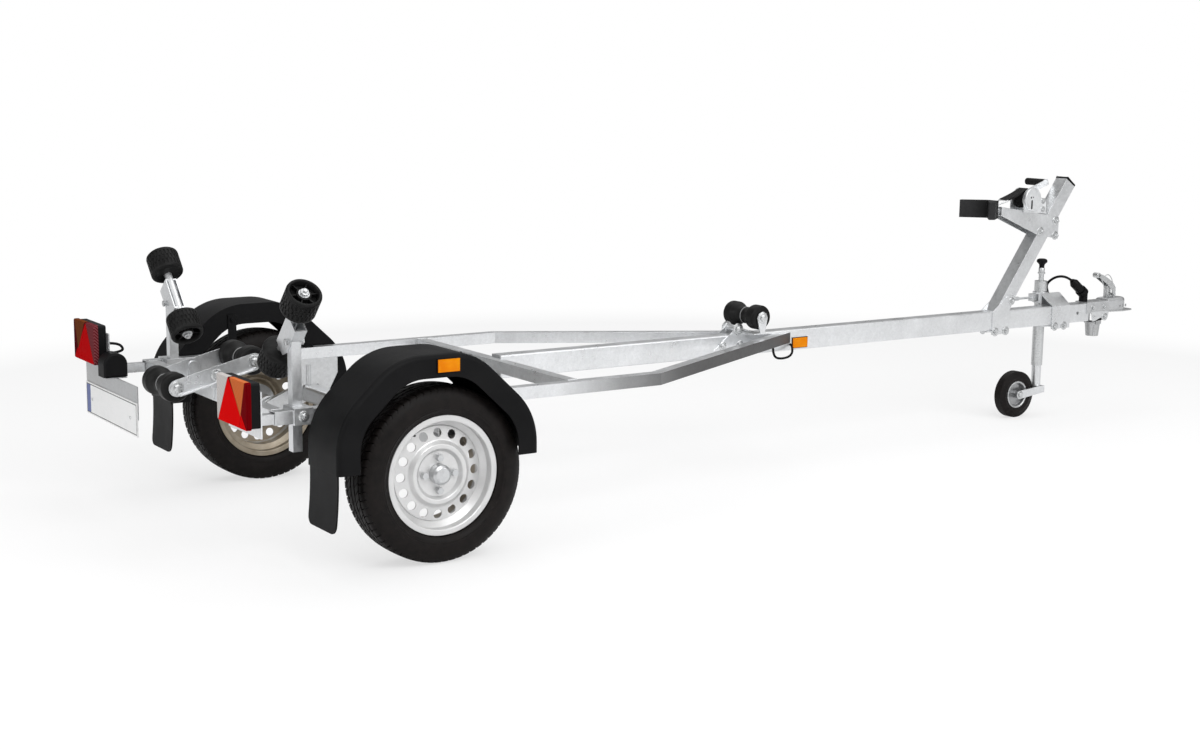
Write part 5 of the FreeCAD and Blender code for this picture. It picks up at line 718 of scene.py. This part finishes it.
def road_tyre(side, sign):
    centre = at(0, WHEEL_Y * sign, WHEEL_Z)
    # where the steps of one pitch stand: a narrow cut, then the block
    stops = (0.0, 0.03, 0.13, 0.16, 0.38, 0.58, 0.78, 0.97)
    cut = (1, 2)
    pitches = 68
    pitch = TURN / pitches
    # across the tread: (distance from the middle, radius, kind of surface), in mm; a kind says how the
    # cuts lean along the pitch and how deep they are
    tread = [(-63.0, 259.8, "edge"), (-59.5, 263.4, "lug"), (-52.0, 265.8, "lug"), (-40.5, 267.1, "lug"),
             (-40.2, 260.5, "groove"), (-34.2, 260.5, "groove"),
             (-33.9, 267.4, "rib"), (-22.0, 267.8, "rib"), (-14.4, 267.9, "rib"),
             (-14.1, 260.6, "groove"), (-8.1, 260.6, "groove"), (-7.8, 268.0, "mid"), (0.0, 268.0, "mid")]
    tread += [(-y, r, kind) for y, r, kind in reversed(tread[:-1])]
    wall = [(-68.0, 252.0), (-72.6, 243.0), (-75.2, 234.0), (-76.9, 224.0), (-77.4, 216.0), (-77.0, 207.5),
            (-76.2, 206.6), (-76.0, 201.5), (-74.6, 200.6), (-71.0, 194.5), (-67.5, 189.0), (-66.8, 185.5),
            (-62.5, 184.0), (-58.0, 183.2), (-57.0, 172.0)]
    inner = [(-46.0, 172.0), (-48.0, 190.0), (-66.0, 214.0), (-64.0, 240.0), (-50.0, 254.0)]
    flank = [(y, r, "plain") for y, r in wall + inner]
    path = flank[::-1] + tread + [(-y, r, kind) for y, r, kind in flank]
    rings = []
    for k in range(pitches * len(stops)):
        cell, step = divmod(k, len(stops))
        ring = []
        for y, r, kind in path:
            lean = 0.0
            drop = 0.0
            outside, way = abs(y), 1 if y > 0 else -1
            if kind in ("lug", "edge"):
                lean = 0.35 * (outside - 40) / 24 * way
                drop = 5.2 if kind == "lug" else 2.6
            elif kind == "rib":
                lean = 0.8 * (outside - 14) / 20 * way + 0.5
                drop = 3.6 if outside > 20 else 1.2
            elif kind == "mid":
                lean = 0.9 * y / 8
                drop = 2.0 if outside > 3 else 0.0
            angle = (cell + stops[step] + lean) * pitch
            radius = (r - (drop if step in cut else 0.0)) * MM
            ring.append(centre + Vector((radius * math.cos(angle), y * MM, radius * math.sin(angle))))
        rings.append(ring)
    bm = bmesh.new()
    loft(bm, rings, closed=True)
    piece(f"road_tyre_{side}", bm, f"wheel_{side}", "tyre", (f"tyre_{side}",), 32)


road_tyre("left", 1)
road_tyre("right", -1)


# Side rollers: staggered ribs round the barrel, an open cup with spokes, and the rod's washer and nut

def side_roller(side, end):
    joint = JOINTS[f"side_roller_{side}_{end}_spin"]
    cup_way = Vector(joint["axis"]) * (1 if end == "outer" else -1)
    m = stand(joint["pos_m"], cup_way)
    bore, half, radius, wall, floor, hub = 13.1, 41.0, 54.0, 43.0, 15.0, 22.0
    # where the steps of one rib stand; the last three make the cut beside it
    stops = (0.0, 0.2, 0.5, 0.58, 0.75, 0.92)
    ribs, cut, deep = 26, (3, 4, 5), 2.4
    # (radius, height, shift of the ribs' row, or None where there are none)
    profile = [(bore, -half, None), (38.0, -half, None), (49.0, -40.0, None), (52.8, -36.8, None),
               (radius, -32.5, None)]
    for low, high, shift in ((-27.0, -10.0, 0.0), (-8.5, 8.5, 0.5), (10.0, 27.0, 0.0)):
        profile += [(radius, low - 0.6, None), (radius, low, shift),
                    (radius, high, shift), (radius, high + 0.6, None)]
    profile += [(radius, 32.5, None), (52.8, 36.8, None), (49.6, 40.0, None), (46.5, half, None),
                (44.4, 40.2, None), (wall, 38.0, None), (42.0, floor + 2, None), (40.0, floor, None),
                (hub + 1.5, floor, None), (hub, floor + 1.5, None), (hub, 31.5, None), (hub - 1, 32.3, None),
                (bore, 32.3, None)]
    bm = bmesh.new()
    rings = []
    for r, z, shift in profile:
        ring = []
        for k in range(ribs * len(stops)):
            rib, step = divmod(k, len(stops))
            drop = deep if shift is not None and step in cut else 0.0
            turn = TURN * (rib + stops[step] + (shift or 0.0)) / ribs
            ring.append(m @ (Vector(((r - drop) * math.cos(turn), (r - drop) * math.sin(turn), z)) * MM))
        rings.append(ring)
    loft(bm, rings, closed=True)
    for k in range(6):
        spoke = m @ Matrix.Rotation(TURN * k / 6, 4, "Z")
        block(bm, spoke, (hub - 1, -2.0, floor - 1), (wall, 2.0, floor + 15.0), 0.8)
    piece(f"ribbed_roller_{side}_{end}", bm, joint["child"], "rubber",
          (f"side_roller_{side}_{end}",), 40)
    rod_end = bmesh.new()
    tip = m @ Matrix.Translation((0, 0, 32.4 * MM))
    lathe(rod_end, [(13.2, 0), (17.0, 0), (17.0, 1.6), (16.4, 2.2), (13.2, 2.2)], tip, 40)
    hex_head(rod_end, tip @ Vector((0, 0, 2.2 * MM)), cup_way, 24.0, 9.0, False, 6.0)
    piece(f"roller_nut_{side}_{end}", rod_end, joint["parent"], "bolt")


for side in ("left", "right"):
    for end in ("outer", "inner"):
        side_roller(side, end)


# Keel rollers: the mould's seam ring in the groove

def keel_roller(name):
    joint = JOINTS[f"{name}_spin"]
    bm = bmesh.new()
    lathe(bm, [(30.6, -2.2), (31.9, -1.6), (31.9, 1.6), (30.6, 2.2)], stand(joint["pos_m"], (0, 1, 0)), 72, True)
    piece(f"{name}_seam", bm, joint["child"], "grey")


for name in ("keel_roller_tail", "keel_roller_head", "keel_roller_beam"):
    keel_roller(name)


# Mudflaps: rounded corners and a slight curl towards the foot

def mudflaps():
    low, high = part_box("mudflaps")
    foot, top = low[2], high[2]
    # sizes in metres; each corner is drawn in so many steps and each side in so many rows
    width, thick, corner, steps, rows = 0.184, 0.005, 0.026, 5, 9
    curl_top, curl_height, curl = 0.300, 0.16, 0.010
    middle = high[1] - width / 2
    bend = foot + corner
    bm = bmesh.new()
    for sign in (1, -1):
        side = [(middle + width / 2, bend + (top - bend) * k / rows) for k in range(rows, 0, -1)]
        outline = list(side)
        for cy, start in ((middle + width / 2 - corner, 0.0), (middle - width / 2 + corner, -0.25)):
            for k in range(steps + 1):
                turn = TURN * (start - 0.25 * k / steps)
                outline.append((cy + corner * math.cos(turn), bend + corner * math.sin(turn)))
        outline += [(y - width, z) for y, z in reversed(side)]
        rings = []
        for depth in (0.0, thick):
            falls = [max(0.0, (curl_top - z) / curl_height) for _, z in outline]
            rings.append([(low[0] + depth - curl * fall * fall, sign * y, z) for (y, z), fall in zip(outline, falls)])
        for row in loft(bm, rings):
            fill_across(bm, row)
    piece("curled_mudflaps", bm, "chassis", "plastic", ("mudflaps",), 40)


mudflaps()


# Bolts, nuts and pins, by what carries them

UP, DOWN = (0, 0, 1), (0, 0, -1)
BOTH = ((1, (0, 1, 0)), (-1, (0, -1, 0)))

chassis_bolts = []
for sign, way in BOTH:
    chassis_bolts += [(at(-373, 555.2 * sign, 456), way, 17, 7, True, 4),
                      (at(1631, 34.3 * sign, 506), way, 24, 8, True, 0),
                      (at(1560, 34.3 * sign, 447), way, 17, 6, True, 3),
                      (at(1642, 34.3 * sign, 447), way, 17, 6, True, 3),
                      (at(1697, 97.3 * sign, 552), way, 22, 6, True, 0),
                      (at(-455, 98.6 * sign, 518), way, 19, 8, True, 2),
                      (at(3090, 34.3 * sign, 524), way, 17, 7, True, 4),
                      (at(3000, 34.3 * sign, 400), way, 19, 9, True, 0),
                      (at(3062, 34.3 * sign, 400), way, 19, 9, True, 0),
                      (at(3330, 34.3 * sign, 853), way, 19, 9, True, 7),
                      (at(3330, 34.3 * sign, 791), way, 19, 9, True, 7),
                      (at(3240, 34.3 * sign, 812), way, 19, 9, True, 7),
                      (at(3243, 39.2 * sign, 905), way, 13, 5, True, 0),
                      (at(3243, 39.2 * sign, 940), way, 13, 5, True, 0),
                      # on the left the raised jockey fork leaves no room for washers
                      (at(3360, 35.3 * sign, 398.5), way, 19 if sign < 0 else 15, 9, sign < 0, 0),
                      (at(3416, 35.3 * sign, 398.5), way, 19 if sign < 0 else 15, 9, sign < 0, 0),
                      (at(3600, 34.2 * sign, 464), way, 14, 6, True, 3),
                      (at(3672, 34.2 * sign, 464), way, 14, 6, True, 3),
                      (at(120, 532 * sign, 429.6), DOWN, 17, 7, True, 5),
                      (at(218, 532 * sign, 429.6), DOWN, 17, 7, True, 5),
                      (at(-440, 86 * sign, 482.2), UP, 14, 6, True, 2)]
    for end in (1, -1):
        chassis_bolts.append((at(-373 + 23.5 * end, 495 * sign, 668), (end, 0, 0), 19, 6, False, 0))
bolts("chassis_bolts", "chassis", chassis_bolts)

rocker_bolts = []
for end in ("tail", "head"):
    spot = Vector(JOINTS[f"keel_roller_{end}_spin"]["pos_m"])
    rocker_bolts += [(spot + Vector((0, 98.2 * MM * sign, 0)), way, 22, 7, True, 0) for sign, way in BOTH]
bolts("keel_rocker_bolts", "keel_rocker", rocker_bolts)

fork_spot = Vector(JOINTS["jockey_wheel_spin"]["pos_m"])
bolts("jockey_axle_nuts", "jockey_fork",
      [(fork_spot + Vector((0, 36.2 * MM * sign, 0)), way, 19, 7, True, 0) for sign, way in BOTH])


# Cables, each on the route of its solid

wire("plug_cable_line",
     [[(3492.7, 0, 585), (3458.7, 0, 605), (3418, 24, 606), (3406, 66, 572), (3414, 66, 538), (3414, 50, 512),
       (3414, 35, 512)]],
     5.4, "chassis", "cable", ("plug_cable",))
wire("frame_cable_lines",
     [[(-582, 600, 532), (-549, 600, 532), (-516, 590, 524.5), (-516, 570, 502), (-582, 570, 502)],
      [(-415.5, 510, 456), (-415.5, -510, 456)],
      [(1770, -74, 436), (1770, -74, 395), (1818, -74, 384), (1866, -74, 395), (1890, -43.5, 429), (1890, -30, 429)]],
     4.5, "chassis", "cable", ("frame_cables",))


# Winch: the wound strap, its run with a sewn eye, the wire hook, the grip and the cover's slot

def wound_strap(drum):
    turns, first, thick = 9, 17.0, 2.3
    # (radius, half the width) at each turn's edge
    layers = []
    for k in range(turns):
        r = first + thick * k
        layers += [(r, 23.2), (r + 0.3, 24.0), (r + 1.8, 24.0), (r + 2.1, 23.2)]
    layers.append((37.9, 23.8))
    bm = bmesh.new()
    lathe(bm, [(r, -y) for r, y in layers] + layers[::-1], stand(drum, (0, 1, 0)), 72, True)
    piece("wound_strap", bm, "winch", "strap", ("winch_strap",), 30)


def sewn_strap():
    """The run to the hook: single, then a seam, then doubled round the hook's wire."""
    first, last = Vector((3163.0, 994.6)), Vector((3050.0, 952.2))
    steps, sag = 16, 2.4
    way = (last - first).normalized()
    off = Vector((way.y, -way.x))
    if off.y > 0:
        off = -off
    upper, lower = [], []
    for k in range(steps + 1):
        t = k / steps
        spot = first + (last - first) * t + off * (sag * math.sin(math.pi * t))
        upper.append(spot)
        lower.append(spot + off * (3.4 if t < 0.28 else 4.4 if t < 0.34 else 7.6))
    middle, radius = last + off * 3.8, 4.6
    fold = [middle + (way * math.cos(a) - off * math.sin(a)) * radius for a in (1.1, 0.6, 0.1, -0.4, -0.9)]
    outline = upper + fold + lower[::-1]
    bm = bmesh.new()
    for row in loft(bm, [[at(p.x, side, p.y) for p in outline] for side in (-24.0, 24.0)]):
        fill_across(bm, row)
    piece("sewn_strap", bm, "chassis", "strap", ("strap_run",), 30)


def strap_wire_hook():
    half = [(3050, 25, 947), (3044, 25.5, 944), (3032, 18, 939), (3020, 7, 932), (3010, 4, 927), (3004.5, 3, 926)]
    wire("strap_wire_hook", [half + [(x, -y, z) for x, y, z in reversed(half)]], 3.2, "chassis", "bolt",
         ("strap_hook",), True)


def crank_grip(drum):
    lift, arm = math.radians(19), 0.186
    ribs, first, pitch = 17, 61.5, 5.2
    profile = [(13.0, 54.0), (14.6, 54.4), (15.0, 57.0), (15.0, 60.0)]
    for k in range(ribs):
        y = first + pitch * k
        profile += [(14.1, y), (14.1, y + 1.6), (14.9, y + 2.4), (14.9, y + 4.4)]
    profile += [(15.0, 151.0), (14.4, 154.0), (11.0, 155.6)]
    bm = bmesh.new()
    lathe(bm, profile, stand(drum + Vector((math.cos(lift), 0, math.sin(lift))) * arm, (0, 1, 0)), 32)
    piece("crank_sleeve", bm, "winch", "rubber", (), 30)
    bolts("crank_nut", "winch", [(drum + Vector((0, 51.2 * MM, 0)), (0, 1, 0), 24, 8, True, 3)])


def cover_slot():
    bm = bmesh.new()
    for x, high, half, wide in ((3165, 927.0, 15.0, 4.2), (3159, 957.0, 1.0, 3.2), (3171, 958.0, 0.5, 2.4)):
        spot = stand(at(x, -49, high), (0, -1, 0))
        rim = [(wide * math.cos(a), half + wide * math.sin(a)) for a in (TURN * k / 16 for k in range(9))]
        rim += [(-u, -v) for u, v in rim]
        rings = [[spot @ (Vector((u * size, v * size, z)) * MM) for u, v in rim]
                 for size, z in ((1.0, -0.4), (1.0, 0.2), (0.9, 0.35))]
        loft(bm, rings, caps=True)
    piece("winch_cover_slot", bm, "chassis", "gloss")


drum_spot = Vector(JOINTS["winch_turn"]["pos_m"])
wound_strap(drum_spot)
sewn_strap()
strap_wire_hook()
crank_grip(drum_spot)
cover_slot()


# Mast cap, jockey head and rim, reflector frames, small fixings, the coupling's lever and fittings

def mast_cap():
    lean = math.radians(54.3)
    m = stand(at(3419.6, 0, 1017.1), (math.cos(lean), 0, math.sin(lean)))
    bm = bmesh.new()
    block(bm, m, (-30.6, -30.6, -6.0), (30.6, 30.6, 3.0), 1.4)
    piece("mast_cap", bm, "chassis", "gloss")


def jockey_trim():
    leg = Matrix.Translation(at(3372, 66, 0))
    bm = bmesh.new()
    lathe(bm, [(11.0, 616.2), (11.0, 648.0), (12.5, 656.0), (17.0, 661.0), (22.2, 665.5), (23.0, 669.0),
               (22.6, 673.5), (19.5, 678.2), (13.0, 681.0), (5.0, 681.6)], leg, 48)
    piece("jockey_mushroom_knob", bm, "jockey_leg", "gloss", ("jockey_knob",))
    bm = bmesh.new()
    lathe(bm, [(11.1, 616.1), (16.0, 616.1), (16.0, 621.0), (14.6, 622.4), (12.9, 623.0), (12.9, 640.5),
               (12.3, 641.5), (11.1, 641.5)], leg, 40, True)
    piece("jockey_neck_sleeve", bm, "jockey_leg", "bolt")
    wheel = stand(JOINTS["jockey_wheel_spin"]["pos_m"], (0, 1, 0))
    lip = ((57.6, 19.0), (57.6, 21.2), (54.5, 22.0), (51.0, 20.6), (50.2, 19.0))
    bm = bmesh.new()
    for way in (1, -1):
        lathe(bm, [(r, y * way) for r, y in lip], wheel, 64, True)
    piece("jockey_rim_lips", bm, "jockey_wheel", "bolt")


def reflector_frames():
    edge, reach = 2.0, 3.4
    bm = bmesh.new()
    for x0, x1, z0, z1, inner in ((-44, 28, 587, 625, 757), (1901, 1973, 415, 453, 30)):
        bars = ((x0 - edge, x1 + edge, z1, z1 + edge), (x0 - edge, x1 + edge, z0 - edge, z0),
                (x0 - edge, x0, z0, z1), (x1, x1 + edge, z0, z1))
        for sign in (1, -1):
            low, high = sorted((inner * sign, (inner + reach) * sign))
            for a, b, c, d in bars:
                block(bm, FROM_AXLE, (a, low, c), (b, high, d), 0.5)
    piece("reflector_frames", bm, "chassis", "plastic")


def small_fixings():
    bm = bmesh.new()
    for y in (300, 678):
        lathe(bm, [(5.5, 0), (5.5, 0.8), (4.4, 2.2), (2.4, 3.0)], stand(at(-593.1, y, 331), (-1, 0, 0)), 24)
    piece("plate_screws", bm, "chassis", "bolt")
    stays = [(at(x, 550.8 * sign, 588), (0, -sign, 0), 13, 6, False, 3) for sign in (1, -1) for x in (-135, 135)]
    bolts("guard_bolts", "chassis", stays, "gloss")
    for side, sign in (("left", 1), ("right", -1)):
        turn, from_hub, outward = 2.2, 0.1605, 0.022
        m = stand(at(0, WHEEL_Y * sign, WHEEL_Z), (0, sign, 0), turn) @ Matrix.Translation((from_hub, 0, outward))
        bm = bmesh.new()
        lathe(bm, [(4.2, 0), (4.2, 16), (3.2, 20), (3.0, 30), (3.9, 31), (3.9, 38), (3.2, 39.2)], m, 18)
        piece(f"valve_{side}", bm, f"wheel_{side}", "rubber")


def coupling_lever():
    """The locking lever as folded sheet on two legs, with its two wire springs."""
    # (x, underside, top) along the handle
    handle = [(3650, 598, 606), (3664, 590, 604), (3680, 580, 600), (3700, 568, 591), (3722, 556, 579),
              (3740, 545, 568), (3752, 538, 556), (3758, 528, 546), (3762, 500, 544)]
    outline = [(x, top) for x, _, top in handle] + [(3762, 486), (3748, 486), (3745, 520), (3738, 534), (3720, 548)]
    outline += [(x, low - 4) for x, low, _ in reversed(handle[:4])]
    bm = bmesh.new()
    for side in (-15.0, 12.0):
        sheet(bm, outline, (side, side + 3.0))
    # the top sheet's section: (distance across, depth under the handle's top)
    section = ((-14.0, 0.3), (-9.0, -1.6), (0.0, -2.4), (9.0, -1.6), (14.0, 0.3),
               (14.0, 2.6), (0.0, 0.4), (-14.0, 2.6))
    loft(bm, [[at(x, y, z - d) for y, d in section] for x, _, z in handle])
    tip, pin = stand(at(3650, 0, 601), (0, 1, 0)), stand(at(3754, 0, 512), (0, 1, 0))
    lathe(bm, [(9.0, -15.0), (11.5, -13.0), (11.5, 13.0), (9.0, 15.0)], tip, 32)
    lathe(bm, [(6.0, -19.0), (6.5, -18.0), (6.5, 18.0), (6.0, 19.0)], pin, 20)
    # the block comes last: a bevel frees faces, and what is drawn after it would take their places in any order
    block(bm, FROM_AXLE, (3712, -11, 498), (3722, 11, 552), 2.0)
    piece("coupling_lever_sheets", bm, "chassis", "bolt", ("coupling_lever",), 30)
    wire("coupling_springs",
         [[(3664, -16, 584), (3676, -17, 566), (3684, -17, 540), (3705, -17, 517), (3728, -16, 500)],
          [(3700, 4, 586), (3716, 4, 600), (3738, 4, 598), (3758, 4, 576), (3763, 4, 552), (3762, 4, 520)]],
         1.8, "chassis", "bolt")


def coupling_trim():
    """The hanger plate with its bolts, the cup's seam and three raised blank marks on its side."""
    bm = bmesh.new()
    sheet(bm, [(3588, 446), (3700, 446), (3700, 432), (3690, 408), (3664, 408), (3652, 418), (3610, 404),
               (3596, 404)], (-35.2, -33.4))
    seam = Matrix.Translation(at(3640, 0, 0)) @ Matrix.Rotation(math.radians(-124), 4, "Z")
    block(bm, seam, (27.0, -1.6, 337.0), (31.5, 1.6, 398.5), 0.8)
    piece("hanger_plate", bm, "chassis", "zinc", (), 30)
    bolts("hanger_bolts", "chassis", [(at(3676, -35.3, 420), (0, -1, 0), 17, 8, True, 2),
                                      (at(3606, -35.3, 424), (0, -1, 0), 10, 3, False, 0)])
    bm = bmesh.new()
    for x, z, wide, tall in ((3768, 462, 5, 5), (3786, 463, 3, 8), (3802, 464, 8, 6)):
        block(bm, FROM_AXLE, (x, -39.4, z - tall), (x + wide, -37.0, z + tall), 1.2)
    piece("coupling_embossing", bm, "chassis", "dark_zinc")


coupling_lever()
coupling_trim()
mast_cap()
jockey_trim()
reflector_frames()
small_fixings()


# Weld beads at the frame's joints

def weld(bm, a, b, radius=2.6):
    """A round bead between two places in mm, rippled along its length."""
    a, b = at(*a), at(*b)
    m = stand(a, b - a)
    length = (b - a).length
    step, sides = 0.0011, 8
    turns = [TURN * j / sides for j in range(sides)]
    count = max(4, int(length / step))
    rings = []
    for k in range(count + 1):
        t = k / count
        ripple = 0.85 + 0.15 * abs(math.sin(1.25 * k)) + 0.08 * math.sin(3.7 * k)
        r = radius * MM * ripple * (0.6 if k in (0, count) else 1.0)
        rings.append([m @ Vector((r * math.cos(turn), r * math.sin(turn), t * length)) for turn in turns])
    loft(bm, rings, caps=True)


def welds():
    bm = bmesh.new()
    for sign in (1, -1):
        rail = 510 * sign
        for x in (-460, -420):
            weld(bm, (x, rail, 438), (x, rail, 474))
        for z in (476, 436):
            weld(bm, (-458, rail, z), (-422, rail, z))
        for x in (562, 602):
            weld(bm, (x, rail, 438), (x, rail, 474))
        weld(bm, (564, rail, 476), (600, rail, 476))
        weld(bm, (602, 30 * sign, 438), (602, 30 * sign, 474))
    # the beam's open end stands above and below the member and is closed by plates
    for foot, head in ((476.3, 485.4), (406.6, 435.6)):
        block(bm, FROM_AXLE, (599.4, -29.0, foot), (602.6, 29.0, head), 1.0)
    piece("weld_beads", bm, "chassis", "zinc_dull", (), 60)


welds()
